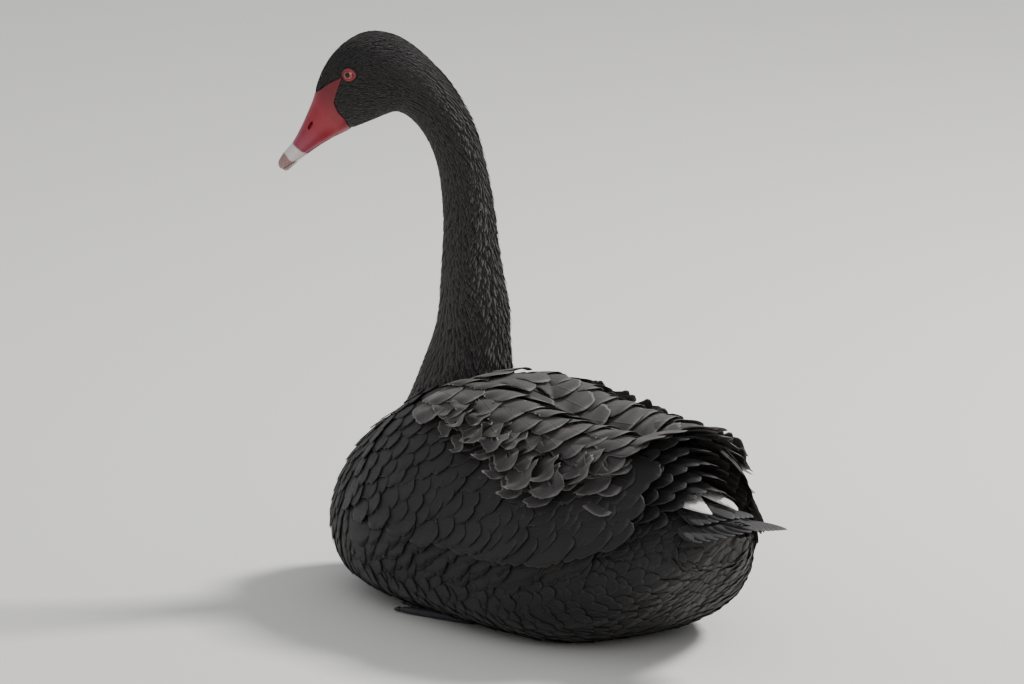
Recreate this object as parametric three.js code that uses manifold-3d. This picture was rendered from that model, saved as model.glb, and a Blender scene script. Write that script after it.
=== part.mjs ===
// A black swan at rest on flat ground, life size, as a still model.
// Millimetres. +X is forward (breast), +Y the bird's left, +Z up.
// The origin is on the ground under the middle of the belly.
import * as THREE from "three";
import { mergeVertices } from "three/addons/utils/BufferGeometryUtils.js";
import Module from "manifold-3d";

const wasm = await Module();
wasm.setup();

// Driving dimensions
const GAP = 0.3; // clearance kept between nodes that touch
const BREAST_X = 250; // front of the breast
const RUMP_X = -207; // end of the rump
const BODY_HALF_WIDTH = 115; // widest, low on the flanks
const BACK_HEIGHT = 167; // back line between the shoulders
const WING_RISE = 24; // how far the folded wing stands over the back
const NECK_X = 141; // upright part of the neck, seen from the side
const HEAD_TURN = THREE.MathUtils.degToRad(44); // head and upper neck, to the left
const EYE_RADIUS = 6.4;
const VANE_THICKNESS = 1.1; // at the quill, root end; thinner at the edges and the tip

const clamp01 = (x) => Math.min(1, Math.max(0, x));
const smooth = (a, b, x) => {
  const t = clamp01((x - a) / (b - a));
  return t * t * (3 - 2 * t);
};
const vec = (x, y, z) => new THREE.Vector3(x, y, z);

// A seeded draw, so that the feathers vary the same way every time.
function seeded(seed) {
  let state = seed;
  return () => {
    state = (state * 1664525 + 1013904223) % 4294967296;
    return state / 4294967296;
  };
}

// Turns a three.js geometry, closed and facing out or in, into a solid.
function solid(geometry) {
  const bare = geometry.clone();
  bare.deleteAttribute("normal");
  bare.deleteAttribute("uv");
  const merged = mergeVertices(bare, 1e-4);
  const triVerts = new Uint32Array(merged.index.array);
  const mesh = () =>
    new wasm.Manifold(
      new wasm.Mesh({ numProp: 3, vertProperties: merged.attributes.position.array, triVerts }),
    );
  const made = mesh();
  if (made.volume() > 0) return made;
  for (let i = 0; i < triVerts.length; i += 3) {
    [triVerts[i + 1], triVerts[i + 2]] = [triVerts[i + 2], triVerts[i + 1]];
  }
  return mesh();
}

// A sphere's grid laid over rings: point(v, u), v from 0 to 1 along, u from 0 to 1 around.
function loft(point, along, around) {
  const geometry = new THREE.SphereGeometry(1, around, along);
  const position = geometry.attributes.position;
  for (let i = 0; i <= along; i++) {
    for (let j = 0; j <= around; j++) {
      const p = point(i / along, (j % around) / around);
      position.setXYZ(i * (around + 1) + j, p.x, p.y, p.z);
    }
  }
  return solid(geometry);
}

function unite(solids) {
  return wasm.Manifold.union(solids);
}

// The largest closed surface of a solid.
function largest(s) {
  return s.decompose().reduce((a, b) => (a.volume() > b.volume() ? a : b));
}

// A smooth value through named stations [x, value, value, ...], read at x.
function stationed(stations) {
  const xs = stations.map((s) => s[0]);
  return (x) => {
    const last = stations.length - 1;
    if (x <= xs[0]) return stations[0].slice(1);
    if (x >= xs[last]) return stations[last].slice(1);
    let i = 0;
    while (xs[i + 1] < x) i++;
    const t = (x - xs[i]) / (xs[i + 1] - xs[i]);
    return stations[i].slice(1).map((b, k) => {
      const c = stations[i + 1][k + 1];
      const a = stations[Math.max(0, i - 1)];
      const d = stations[Math.min(last, i + 2)];
      const slope = (p, q) => (q[k + 1] - p[k + 1]) / (q[0] - p[0]);
      const before = i > 0 ? slope(a, stations[i + 1]) : slope(stations[i], stations[i + 1]);
      const after = i + 2 <= last ? slope(stations[i], d) : slope(stations[i], stations[i + 1]);
      const h = xs[i + 1] - xs[i];
      const t2 = t * t;
      const t3 = t2 * t;
      return (
        (2 * t3 - 3 * t2 + 1) * b +
        (t3 - 2 * t2 + t) * h * before +
        (3 * t2 - 2 * t3) * c +
        (t3 - t2) * h * after
      );
    });
  };
}

// Torso: [x, half width, height of the widest line, underside, back line], as shares of
// the driving dimensions where they set the size. An underside below 0 is flattened.
const W = BODY_HALF_WIDTH;
const H = BACK_HEIGHT;
const torsoAt = stationed([
  [RUMP_X, 0.1 * W, 99, 92, 0.62 * H],
  [-196, 0.29 * W, 96, 76, 0.69 * H],
  [-170, 0.5 * W, 84, 50, 0.77 * H],
  [-125, 0.75 * W, 64, 17, 0.85 * H],
  [-75, 0.9 * W, 52, -1, 0.89 * H],
  [-20, 0.97 * W, 46, -3, 0.93 * H],
  [50, W, 44, -3, H],
  [110, 0.985 * W, 44, -3, 0.99 * H],
  [160, 0.91 * W, 47, 0, 0.95 * H],
  [200, 0.76 * W, 54, 10, 0.85 * H],
  [232, 0.5 * W, 62, 26, 0.7 * H],
  [BREAST_X, 0.12 * W, 72, 60, 0.51 * H],
]);
const UPPER_POWER = 1.75; // sides slope in towards the back
const LOWER_POWER = 2.5; // flanks bulge over the ground

// Distance from (0, widest height) to the torso's skin at angle phi from straight up.
function torsoRadius(x, phi) {
  const [half, wide, under, back] = torsoAt(x);
  const up = Math.cos(phi) > 0;
  const tall = Math.max(1, up ? back - wide : wide - under);
  const power = up ? UPPER_POWER : LOWER_POWER;
  const side = Math.abs(Math.sin(phi)) / half;
  const rise = Math.abs(Math.cos(phi)) / tall;
  return Math.pow(Math.pow(side, power) + Math.pow(rise, power), -1 / power);
}

// Folded wing: how far it stands over the torso at x, phi measured to its own side.
// Where there is no wing the answer is below 0, so that its edge is a clean one.
const WING_FRONT = 172;
const WING_REAR = -150;
const WING_LOW = 1.22; // angle from straight up of the wing's lower edge
const WING_CLEAR = 1.42; // from here down there is no wing
const wingHeightAt = stationed([
  [WING_REAR, 1.42],
  [-110, 1.22],
  [-50, 0.96],
  [0, 0.82],
  [50, 0.72],
  [95, 0.66],
  [130, 0.46],
  [155, 0.28],
  [WING_FRONT, 0.1],
]);
function wingFull(x, phi) {
  const groove = 0.16 + 0.84 * Math.max(smooth(0, 0.3, phi), 0.7 * smooth(15, 70, x));
  const side = 1 - 0.62 * smooth(0.3, 1.25, phi);
  return WING_RISE * wingHeightAt(x)[0] * groove * side;
}
function wingRise(x, phi) {
  const edge = smooth(WING_CLEAR, WING_LOW, phi);
  const front = smooth(WING_FRONT + 4, WING_FRONT - 14, x);
  return -3 + (wingFull(x, phi) + 3) * edge * front;
}

// A point over the bird's body at (x, phi), lift millimetres above the skin or the wing.
function bodyPoint(x, phi, lift, winged) {
  const side = Math.abs(phi);
  const rise = winged ? wingRise(x, side) : 0;
  const r = torsoRadius(x, side) + rise + lift;
  return vec(x, r * Math.sin(phi), torsoAt(x)[1] + r * Math.cos(phi));
}

// A point for a feather over the wing's layer, or over the bare torso.
function featherPoint(x, phi, lift, onWing) {
  const inner = Math.max(RUMP_X + 12, x);
  const rise = onWing ? wingFull(inner, Math.abs(phi)) : 0;
  const p = bodyPoint(inner, phi, rise + lift, false);
  return vec(x, p.y, p.z);
}

// Angles of the body's grid down one side: closer over the back, a line at each edge.
const SIDE_ANGLES = [
  0, 0.13, 0.29, 0.47, 0.66, 0.85, 1.04, WING_LOW, WING_CLEAR, 1.68, 1.95, 2.24, 2.54, 2.84,
];
const RING_ANGLES = [
  -Math.PI,
  ...SIDE_ANGLES.slice(1).reverse().map((phi) => -phi),
  ...SIDE_ANGLES,
];

// The body's grid, from breast to rump. grow is added all round.
function bodySolid(grow, winged, along = 24) {
  const start = BREAST_X + grow;
  const length = start - RUMP_X + grow;
  return loft(
    (v, u) => {
      const x = start - length * (0.5 - 0.5 * Math.cos(Math.PI * v));
      const inner = Math.min(BREAST_X, Math.max(RUMP_X, x));
      if (v === 0 || v === 1) return vec(x, 0, torsoAt(inner)[1]);
      const p = bodyPoint(inner, RING_ANGLES[Math.round(u * RING_ANGLES.length)], grow, winged);
      return vec(x, p.y, Math.max(p.z, -grow));
    },
    along,
    RING_ANGLES.length,
  );
}

// Outline of a feather's vane: share of its half width from root to tip.
const vaneWidthAt = stationed([
  [0, 0.5],
  [0.35, 0.95],
  [0.7, 1],
  [0.88, 0.74],
  [1, 0.28],
]);
const tipCloser = (v) => v * (1.25 - 0.25 * v); // puts the last stations nearer to the tip

// A thin plate over place(s, w, off): s from root to tip, w millimetres across, off from
// its middle layer. Both faces are cut into the same triangles.
function vane(place, length, half, segments, grow = 0) {
  const points = [];
  for (let i = 0; i <= segments; i++) {
    const s = tipCloser(i / segments);
    const reach = i === 0 ? -grow / length : i === segments ? 1 + grow / length : s;
    for (const face of [0.5, -0.5]) {
      for (const w of [-1, 0, 1]) {
        const thick = VANE_THICKNESS * (w === 0 ? 1 : 0.62) * (1 - 0.3 * s) + 2 * grow;
        const p = place(reach, w * (half * vaneWidthAt(s)[0] + grow), face * thick);
        points.push(p.x, p.y, p.z);
      }
    }
  }
  const index = [];
  const quad = (a, b, c, d) => index.push(a, b, c, a, c, d);
  for (let i = 0; i < segments; i++) {
    const [p, q] = [6 * i, 6 * (i + 1)];
    quad(p, p + 1, q + 1, q);
    quad(p + 2, q + 2, q + 1, p + 1);
    index.push(p + 3, q + 4, p + 4, p + 3, q + 3, q + 4);
    index.push(p + 5, p + 4, q + 4, p + 5, q + 4, q + 5);
    quad(p, q, q + 3, p + 3);
    quad(p + 2, p + 5, q + 5, q + 2);
  }
  const e = 6 * segments;
  quad(0, 3, 4, 1);
  quad(1, 4, 5, 2);
  quad(e, e + 1, e + 4, e + 3);
  quad(e + 1, e + 2, e + 5, e + 4);
  const geometry = new THREE.BufferGeometry();
  geometry.setAttribute("position", new THREE.BufferAttribute(new Float32Array(points), 3));
  geometry.setIndex(index);
  return solid(geometry);
}

// A vane laid over the body from (x, phi): slant turns it down the side, lift goes from
// root to tip, tilt laps it over its neighbour, wave frills its edges.
function drapedPlace(side, at, shape) {
  const { slant = 0, root = -3, tip = 3.4, power = 0.5, tilt = 0.9, wave = 0, turns = 1.3 } = shape;
  const { onWing = true } = shape;
  const reach = torsoRadius(at.x, at.phi) + (onWing ? wingFull(at.x, at.phi) : 0);
  return (s, w, off) => {
    const run = s * shape.length;
    const x = at.x - run * Math.cos(slant) + w * Math.sin(slant);
    const phi = at.phi + (run * Math.sin(slant) + w * Math.cos(slant)) / reach;
    const frill = wave * (w / shape.half) * s * Math.sin(2 * Math.PI * turns * s + 9 * at.phi + w / 9);
    const lift = root + (tip - root) * Math.pow(Math.max(0, s), power) + (tilt * w) / shape.half;
    return featherPoint(x, side * phi, lift + frill + off, onWing);
  };
}
function drapedVane(side, at, shape, grow = 0) {
  return vane(drapedPlace(side, at, shape), shape.length, shape.half, shape.segments ?? 3, grow);
}

// A vane held between a root and a tip in the open: arch lifts its middle.
function openPlace(root, tip, across, shape) {
  const along = tip.clone().sub(root);
  const normal = across.clone().cross(along).normalize();
  if (normal.z < 0) normal.negate();
  return (s, w, off) => {
    const edge = w / shape.half;
    const frill = (shape.wave ?? 0) * edge * s * Math.sin(2 * Math.PI * 1.4 * s + (shape.phase ?? 0));
    const arch = 4 * (shape.arch ?? 0) * s * (1 - s) - (shape.camber ?? 1) * edge * edge;
    const p = root.clone().addScaledVector(along, s).addScaledVector(across, w);
    return p.addScaledVector(normal, arch + frill + off);
  };
}
function openVane(root, tip, across, shape, grow = 0) {
  const place = openPlace(root, tip, across, shape);
  return vane(place, root.distanceTo(tip), shape.half, shape.segments ?? 4, grow);
}

// Neck and head: [t, z] of the crown or nape side, [t, z] of the throat side, half width.
// t runs forward from the upright of the neck; higher up the plane turns to the left.
const neckStations = [
  [[-30, 96], [66, 112], 44],
  [[-38, 134], [52, 142], 41],
  [[-39, 166], [37, 168], 36],
  [[-40, 201], [20, 203], 29],
  [[-41, 226], [13, 226], 26.5],
  [[-35, 253], [12, 252], 23.5],
  [[-28, 281], [12, 279], 20.8],
  [[-22, 311], [15, 307], 19.2],
  [[-16.5, 340], [19.5, 337], 18.6],
  [[-9, 367], [26, 356], 18.8],
  [[0, 387], [35, 370.5], 19.6],
  [[11, 404], [45, 379.5], 21],
  [[22, 417], [54, 382], 22.6],
  [[36, 430], [63, 379], 24.4],
  [[51, 440], [72, 375], 25.8],
  [[66, 444.5], [80, 371.5], 26.2],
  [[80, 443.8], [87, 368.5], 25.6],
  [[93, 437.5], [92.5, 365.5], 24],
  [[104.5, 427], [97, 363], 21.4],
  [[112.5, 415], [101, 361], 18.4],
  [[117.5, 403], [105, 359], 16.4],
];
const billStations = [
  [[120.8, 390.5], [109, 356.5], 15.2],
  [[126, 377.5], [116, 352], 14.8],
  [[131.5, 365.5], [123.5, 346.5], 14.4],
  [[137.5, 354.5], [130, 341.5], 14],
  [[144, 346.5], [136.5, 336], 12.6],
  [[149, 338.5], [142, 331], 8.5],
  [[149.5, 334], [145.5, 330.5], 3],
];
const TURN_LOW = 262;
const TURN_HIGH = 345;

// Where a point of the profile plane stands in space.
function inPlane(t, z, lateral) {
  const turn = HEAD_TURN * smooth(TURN_LOW, TURN_HIGH, z + 0.55 * Math.max(0, t - 40));
  return vec(
    NECK_X + t * Math.cos(turn) - lateral * Math.sin(turn),
    t * Math.sin(turn) + lateral * Math.cos(turn),
    z,
  );
}

// One closed sweep through profile stations. grow is added all round.
const PROFILE_POWER = 2.2;
function profileSolid(stations, along, around, grow) {
  const at = stationed(stations.map(([up, low, half], i) => [i, ...up, ...low, half]));
  const count = stations.length - 1;
  return loft(
    (v, u) => {
      const [ut, uz, lt, lz, half] = at(v * count);
      const centre = [(ut + lt) / 2, (uz + lz) / 2];
      if (v === 0 || v === 1) return inPlane(centre[0], centre[1], 0);
      const depth = Math.hypot(ut - lt, uz - lz) / 2;
      const axis = [(ut - lt) / (2 * depth), (uz - lz) / (2 * depth)];
      const curve = (q) => Math.sign(q) * Math.pow(Math.abs(q), 2 / PROFILE_POWER);
      const rise = (depth + grow) * curve(Math.cos(2 * Math.PI * u));
      const lateral = (half + grow) * curve(Math.sin(2 * Math.PI * u));
      return inPlane(centre[0] + axis[0] * rise, centre[1] + axis[1] * rise, lateral);
    },
    along,
    around,
  );
}

// A slab across the head: an outline in the profile plane (t, z), spread sideways.
function profilePrism(outline, lateral = 60) {
  const shape = new THREE.Shape(outline.map(([t, z]) => new THREE.Vector2(t, z)));
  const geometry = new THREE.ExtrudeGeometry(shape, { depth: 2 * lateral, bevelEnabled: false });
  const position = geometry.attributes.position;
  for (let i = 0; i < position.count; i++) {
    const side = position.getZ(i) - lateral;
    const p = headPoint(position.getX(i), position.getY(i), side);
    position.setXYZ(i, p.x, p.y, p.z);
  }
  return solid(geometry);
}

// A point beside the head, where the turn is full.
function headPoint(t, z, lateral) {
  return vec(
    NECK_X + t * Math.cos(HEAD_TURN) - lateral * Math.sin(HEAD_TURN),
    t * Math.sin(HEAD_TURN) + lateral * Math.cos(HEAD_TURN),
    z,
  );
}

// An outline moved outward along the bisector of each corner. Runs anticlockwise.
function grownOutline(outline, by) {
  const count = outline.length;
  return outline.map(([t, z], i) => {
    const [bt, bz] = outline[(i + count - 1) % count];
    const [at, az] = outline[(i + 1) % count];
    const normal = (dt, dz) => [dz / Math.hypot(dt, dz), -dt / Math.hypot(dt, dz)];
    const n1 = normal(t - bt, z - bz);
    const n2 = normal(at - t, az - z);
    const k = by / (1 + n1[0] * n2[0] + n1[1] * n2[1]);
    return [t + (n1[0] + n2[0]) * k, z + (n1[1] + n2[1]) * k];
  });
}

// Naked skin of the bill and lores seen from the side, anticlockwise from the culmen.
const billOutline = [
  [123.5, 392],
  [114, 398],
  [104, 405.5],
  [95.5, 409.5],
  [98.5, 400],
  [100.5, 390],
  [97.5, 382.5],
  [92.5, 377],
  [91, 369],
  [88, 362],
  [92, 338],
  [150, 313],
  [175, 338],
  [150, 398],
];
// Below the mouth line, which runs from the gape to the tip, anticlockwise.
const mandibleOutline = [
  [165, 320],
  [146, 332.6],
  [141, 335.5],
  [132, 342.2],
  [120, 350.5],
  [106, 359.4],
  [93, 365.8],
  [84, 369],
  [60, 340],
  [120, 290],
];
// The horny nail at the tip of the upper bill, anticlockwise.
const nailOutline = [
  [170, 350],
  [145.5, 347],
  [142.5, 340],
  [141, 330],
  [150, 318],
];

const sphere = (centre, radius, around = 12, along = 8) =>
  solid(new THREE.SphereGeometry(radius, around, along).translate(centre.x, centre.y, centre.z));

// An ellipsoid by its half sizes, turned by a matrix of axes and moved to its centre.
function ellipsoid(centre, sizes, axes, around = 10, along = 6) {
  const geometry = new THREE.SphereGeometry(1, around, along);
  const m = new THREE.Matrix4().makeBasis(
    axes[0].clone().multiplyScalar(sizes[0]),
    axes[1].clone().multiplyScalar(sizes[1]),
    axes[2].clone().multiplyScalar(sizes[2]),
  );
  m.setPosition(centre);
  return solid(geometry.applyMatrix4(m));
}

// Axes of the head: forward along t, up, and to its left.
const HEAD_FORWARD = headPoint(1, 0, 0).sub(headPoint(0, 0, 0));
const HEAD_LEFT = headPoint(0, 0, 1).sub(headPoint(0, 0, 0));
const UP = vec(0, 0, 1);

const parts = new Map();
const torsoClear = bodySolid(GAP, false);
const profileStations = [...neckStations, ...billStations];
const neckWhole = profileSolid(profileStations, 44, 20, 0);
const neckClear = profileSolid(profileStations, 44, 20, GAP);

// Feet: webbed, tucked under the flanks, the shank lying along the ground behind them.
const FOOT_X = 18;
const FOOT_Y = 70;
const TOES = [
  [-0.16, 84],
  [0.1, 92],
  [0.36, 78],
];
const TOE_RADIUS = 4.2;
const WEB_HEIGHT = 3;
const POCKET_HEIGHT = 8.7;

// A rod that thins from one end to the other, ends rounded, flattened at the ground.
function limb(from, to, r1, r2, grow, along = 4, around = 7) {
  const axis = to.clone().sub(from);
  const length = axis.length();
  axis.normalize();
  const side = vec(-axis.y, axis.x, 0).normalize();
  const up = axis.clone().cross(side).normalize();
  return loft(
    (v, u) => {
      const s = 0.5 - 0.5 * Math.cos(Math.PI * v);
      const r = (r1 + (r2 - r1) * s) * Math.sqrt(Math.max(0, 1 - Math.pow(2 * s - 1, 6))) + grow;
      const p = from.clone().addScaledVector(axis, s * (length + 2 * grow) - grow);
      if (v === 0 || v === 1) return p;
      p.addScaledVector(side, r * Math.cos(2 * Math.PI * u));
      p.addScaledVector(up, r * Math.sin(2 * Math.PI * u));
      p.z = Math.max(p.z, -grow);
      return p;
    },
    along,
    around,
  );
}

function footSolid(side, grow) {
  const root = vec(FOOT_X, side * FOOT_Y, TOE_RADIUS - 0.6);
  const tips = TOES.map(([angle, length]) =>
    root.clone().add(vec(length * Math.cos(angle), side * length * Math.sin(angle), -0.4)),
  );
  const toes = tips.map((tip) => limb(root, tip, TOE_RADIUS + 1, TOE_RADIUS - 1.4, grow));
  const shape = new THREE.Shape();
  shape.moveTo(root.x - 2, root.y);
  tips.forEach((tip, i) => {
    const reach = tip.clone().lerp(root, 0.12);
    if (i > 0) {
      const mid = tips[i - 1].clone().add(tip).multiplyScalar(0.5).lerp(root, 0.26);
      shape.lineTo(mid.x, mid.y);
    }
    shape.lineTo(reach.x, reach.y);
  });
  const web = new THREE.ExtrudeGeometry(shape, { depth: WEB_HEIGHT + 2 * grow, bevelEnabled: false });
  web.translate(0, 0, -grow);
  const hind = limb(root, root.clone().add(vec(-18, side * -13, -1)), 3.4, 2.2, grow);
  return unite([...toes, solid(web), hind]);
}

// An outline seen from above, closed between two height functions.
function plate(points, low, high) {
  const shape = new THREE.Shape(points.map(([x, y]) => new THREE.Vector2(x, y)));
  const geometry = new THREE.ExtrudeGeometry(shape, { depth: 1, bevelEnabled: false });
  const position = geometry.attributes.position;
  for (let i = 0; i < position.count; i++) {
    const x = position.getX(i);
    const y = position.getY(i);
    position.setZ(i, position.getZ(i) > 0.5 ? high(x, y) : low(x, y));
  }
  return solid(geometry);
}

// Room for the foot in the feathers of the belly: one flat pocket, open to the ground.
function footPocket(side) {
  const at = (forward, out) => [FOOT_X + forward, side * (FOOT_Y + out)];
  const outline = [at(-24, -19), at(-4, -8), at(92, -20), at(100, 10), at(84, 36), at(-2, 7), at(-24, -7)];
  const rim = grownOutline(side > 0 ? outline : outline.reverse(), GAP);
  return plate(rim, () => -5, () => POCKET_HEIGHT);
}

function shankSolid(side, grow) {
  const heel = vec(FOOT_X - 92, side * (FOOT_Y - 12), 9);
  const end = vec(FOOT_X - 8, side * FOOT_Y, 7);
  return limb(heel, end, 8.5, 5.6, grow, 6, 10);
}

const SIDES = [
  ["left", 1],
  ["right", -1],
];

let torso = bodySolid(0, false);
for (const [word, side] of SIDES) {
  torso = torso.subtract(footPocket(side)).subtract(shankSolid(side, GAP));
  parts.set(`foot_${word}`, footSolid(side, 0));
  parts.set(`leg_${word}`, shankSolid(side, 0).subtract(footSolid(side, GAP)));
}
// Neck in three lengths, then the head and the bill.
const NECK_CUTS = [243, 318];
const HEAD_CUT = { normal: headPoint(0.738, 0.675, 0).sub(headPoint(0, 0, 0)), at: headPoint(38, 400, 0) };
const neckBare = neckWhole.subtract(torsoClear);
const cut = (s, normal, point, gap = GAP / 2) =>
  s.trimByPlane([normal.x, normal.y, normal.z], normal.dot(point) + gap);
const DOWN = vec(0, 0, -1);
parts.set("neck_lower", cut(neckBare, DOWN, vec(0, 0, NECK_CUTS[0])));
parts.set("neck_middle", cut(cut(neckBare, UP, vec(0, 0, NECK_CUTS[0])), DOWN, vec(0, 0, NECK_CUTS[1])));
const upperPart = cut(neckBare, UP, vec(0, 0, NECK_CUTS[1]));
const behind = HEAD_CUT.normal.clone().negate();
parts.set("neck_upper", cut(upperPart, behind, HEAD_CUT.at));
const headAndBill = cut(upperPart, HEAD_CUT.normal, HEAD_CUT.at);

// Eyes in their sockets, ringed by lids.
const EYE = { t: 86.6, z: 413.5, lateral: 21.2 };
const LID_RADIUS = 1.5;
const eyePoint = (side, out = 0) => headPoint(EYE.t + 0.25 * out, EYE.z, side * (EYE.lateral + out));
let head = headAndBill.subtract(profilePrism(grownOutline(billOutline, GAP)));
let bill = headAndBill.intersect(profilePrism(billOutline));
for (const [word, side] of SIDES) {
  const out = eyePoint(side, 1).sub(eyePoint(side, 0)).normalize();
  const ring = new THREE.TorusGeometry(EYE_RADIUS - 0.5, LID_RADIUS, 6, 16);
  ring.scale(1.12, 1, 1);
  const turn = new THREE.Matrix4().makeBasis(UP.clone().cross(out).normalize(), UP, out);
  turn.setPosition(eyePoint(side, 3.1));
  head = head.add(solid(ring.applyMatrix4(turn)));
}
for (const [word, side] of SIDES) {
  head = head.subtract(sphere(eyePoint(side), EYE_RADIUS + GAP));
  parts.set(`eye_${word}`, sphere(eyePoint(side), EYE_RADIUS));
}
parts.set("head", head);

// Bill: nostrils, lower mandible set in under the upper, nail at the tip.
for (const [word, side] of SIDES) {
  const axes = [vec(0.5 * HEAD_FORWARD.x, 0.5 * HEAD_FORWARD.y, -0.86), HEAD_LEFT, UP];
  axes[2] = axes[0].clone().cross(axes[1]);
  bill = bill.subtract(ellipsoid(headPoint(121, 370, side * 12.6), [5, 4.2, 1.5], axes));
}
const narrower = profileSolid(profileStations.map(([u, l, h]) => [u, l, h - 1.3]), 44, 20, 0);
const mandible = profilePrism(mandibleOutline);
const upperBill = bill.subtract(profilePrism(grownOutline(mandibleOutline, GAP)));
parts.set("bill_lower", bill.intersect(mandible).intersect(narrower));
parts.set("bill_upper", upperBill.subtract(profilePrism(grownOutline(nailOutline, GAP))));
parts.set("bill_nail", upperBill.intersect(profilePrism(nailOutline)));

// Flank feathers: one row on the torso, its tips over the lower edge of the wing's.
const FLANK_COUNT = 4;
function flankVanes(side, grow) {
  const made = [];
  for (let i = 0; i < FLANK_COUNT; i++) {
    const shape = { length: 60, half: 19, slant: -0.1, tilt: -0.9, onWing: false };
    made.push(drapedVane(side, { x: 118 - 50 * i, phi: 1.66 + 0.02 * i }, shape, grow));
  }
  return made;
}
const flanks = (grow) => SIDES.flatMap(([, side]) => flankVanes(side, grow));
const torsoAndFlanks = unite([torsoClear, ...flanks(GAP)]);
parts.set("torso", unite([torso, ...flanks(0)]));

// Tail: stiff feathers fanned from the rump, the middle ones on top, coverts over and
// under them.
const TAIL_TIP_X = -252;
const TAIL_FEATHERS = 12;
const TAIL_COVERTS = 5;
function tailSolid(grow) {
  const made = [
    ellipsoid(vec(-196, 0, 111), [26 + grow, 25 + grow, 8 + grow], [vec(1, 0, 0), vec(0, 1, 0), UP], 16, 8),
  ];
  const fan = (count, step, length, half, root, fall, arch) => {
    for (let i = 0; i < count; i++) {
      const from = i - (count - 1) / 2;
      const angle = from * step;
      const across = vec(Math.sin(angle), Math.cos(angle), -0.1 * Math.sign(from)).normalize();
      const start = vec(root.x, 2.6 * from, root.z - fall * Math.abs(from));
      const reach = length - 1.2 * Math.abs(from);
      const end = start.clone().add(vec(-reach * Math.cos(angle), reach * Math.sin(angle), root.rise));
      made.push(openVane(start, end, across, { half, arch, camber: 0.8, segments: 2 }, grow));
    }
  };
  fan(TAIL_FEATHERS, 0.08, -(TAIL_TIP_X + 184), 11, { x: -184, z: 118, rise: -2 }, 1.15, 2);
  fan(TAIL_COVERTS, 0.14, 44, 13, { x: -180, z: 121, rise: -0.5 }, 1.2, 3);
  fan(TAIL_COVERTS - 2, 0.2, 38, 15, { x: -190, z: 104, rise: -2 }, -0.8, -2);
  return unite(made);
}
const tailClear = tailSolid(GAP);
parts.set("tail", tailSolid(0).subtract(torsoAndFlanks));

// Folded flight feathers of one side, white, lying over the rump.
const FLIGHT_COUNT = 6;
function flightSolid(side, grow) {
  const made = [
    ellipsoid(
      vec(-134, side * 21, 140),
      [24 + grow, 14 + grow, 6 + grow],
      [vec(0.97, 0, 0.24), vec(0, 1, 0), vec(-0.24, 0, 0.97)],
      10,
      6,
    ),
  ];
  for (let i = 0; i < FLIGHT_COUNT; i++) {
    const root = vec(-126, side * (30 - 3.6 * i), 134 + 1.7 * i);
    const tip = vec(-218 + 3.5 * (FLIGHT_COUNT - i), side * (26 - 3.6 * i), 124.5 + 1.7 * i);
    const across = vec(0.04, 1, -0.16 * side).normalize();
    made.push(openVane(root, tip, across, { half: 9, arch: 3, camber: 0.6, segments: 3 }, grow));
  }
  return unite(made);
}
for (const [word, side] of SIDES) {
  parts.set(`flight_${word}`, flightSolid(side, 0).subtract(torsoAndFlanks).subtract(tailClear));
}

// Wing feathers in rows, from the shoulder back: [x of the roots, their angles, length,
// half width]. The ruffled feathers fill the places these leave on the back.
const WING_ROWS = [
  [126, [0.24, 0.5, 0.77, 1.04], 46, 16],
  [84, [0.86, 1.13], 58, 17],
  [34, [0.84, 1.12], 62, 17.5],
  [-20, [0.84, 1.12], 62, 17.5],
  [-70, [0.8, 1.07], 60, 16],
  [-102, [0.62, 0.86], 58, 15],
];
// Ruffled feathers of the back: [x, phi of the root, length, slant, rise of the tip].
const RUFFLES = [
  [92, 0.4, 58, 0.6, 10],
  [64, 0.3, 62, 0.45, 15],
  [36, 0.5, 60, 0.6, 14],
  [8, 0.34, 62, 0.45, 17],
  [-16, 0.54, 60, 0.55, 13],
  [-44, 0.34, 62, 0.4, 16],
  [-70, 0.56, 56, 0.5, 11],
];
// Raised tertials at the rear: [y of the root, x, y and z of the tip], on the left.
const TERTIALS = [
  [13, -180, 14, 183],
  [24, -172, 29, 179],
  [34, -160, 43, 168],
  [44, -160, 54, 152],
];
function wingVanes(side) {
  const chance = seeded(side > 0 ? 7 : 19);
  const made = [];
  for (const [x, angles, length, half] of WING_ROWS) {
    for (const phi of angles) {
      const shape = { length: length + 4 * chance(), half, slant: 0.1 - 0.12 * phi, tilt: -0.9 };
      made.push(drapedVane(side, { x: x + 5 * chance(), phi }, shape));
    }
  }
  for (const [x, phi, length, slant, tip] of RUFFLES) {
    const shape = {
      length: length + 5 * chance(),
      half: 14,
      slant,
      tip: tip + 3 * chance(),
      power: 1.35,
      wave: 5,
      segments: 5,
    };
    made.push(drapedVane(side, { x: x + 6 * chance(), phi: phi + 0.05 * chance() }, shape));
  }
  for (const [y, tx, ty, tz] of TERTIALS) {
    const root = vec(-104, side * y, 160 - 0.18 * y * (y > 20 ? 1 : 0.4));
    const across = vec(0, 1, -0.12 * side * (y / 12)).normalize();
    const shape = { half: 13, arch: 4, wave: 4, phase: y, segments: 5 };
    made.push(openVane(root, vec(tx, side * ty, tz), across, shape));
  }
  return made;
}
const bodyWithWings = bodySolid(0, true);
for (const [word, side] of SIDES) {
  let wing = cut(bodyWithWings, vec(1, 0, 0.12).normalize(), vec(WING_REAR, 0, 170));
  wing = cut(wing, vec(0.67, 0, 0.74).normalize(), vec(-70, 0, 26));
  wing = unite([cut(wing, vec(0, side, 0), vec(0, 0, 0)).subtract(torsoClear), ...wingVanes(side)]);
  wing = cut(wing, vec(0, side, 0), vec(0, 0, 0)).subtract(torsoAndFlanks).subtract(neckClear);
  parts.set(`wing_${word}`, wing.subtract(flightSolid(side, GAP)).subtract(tailClear));
}

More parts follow.
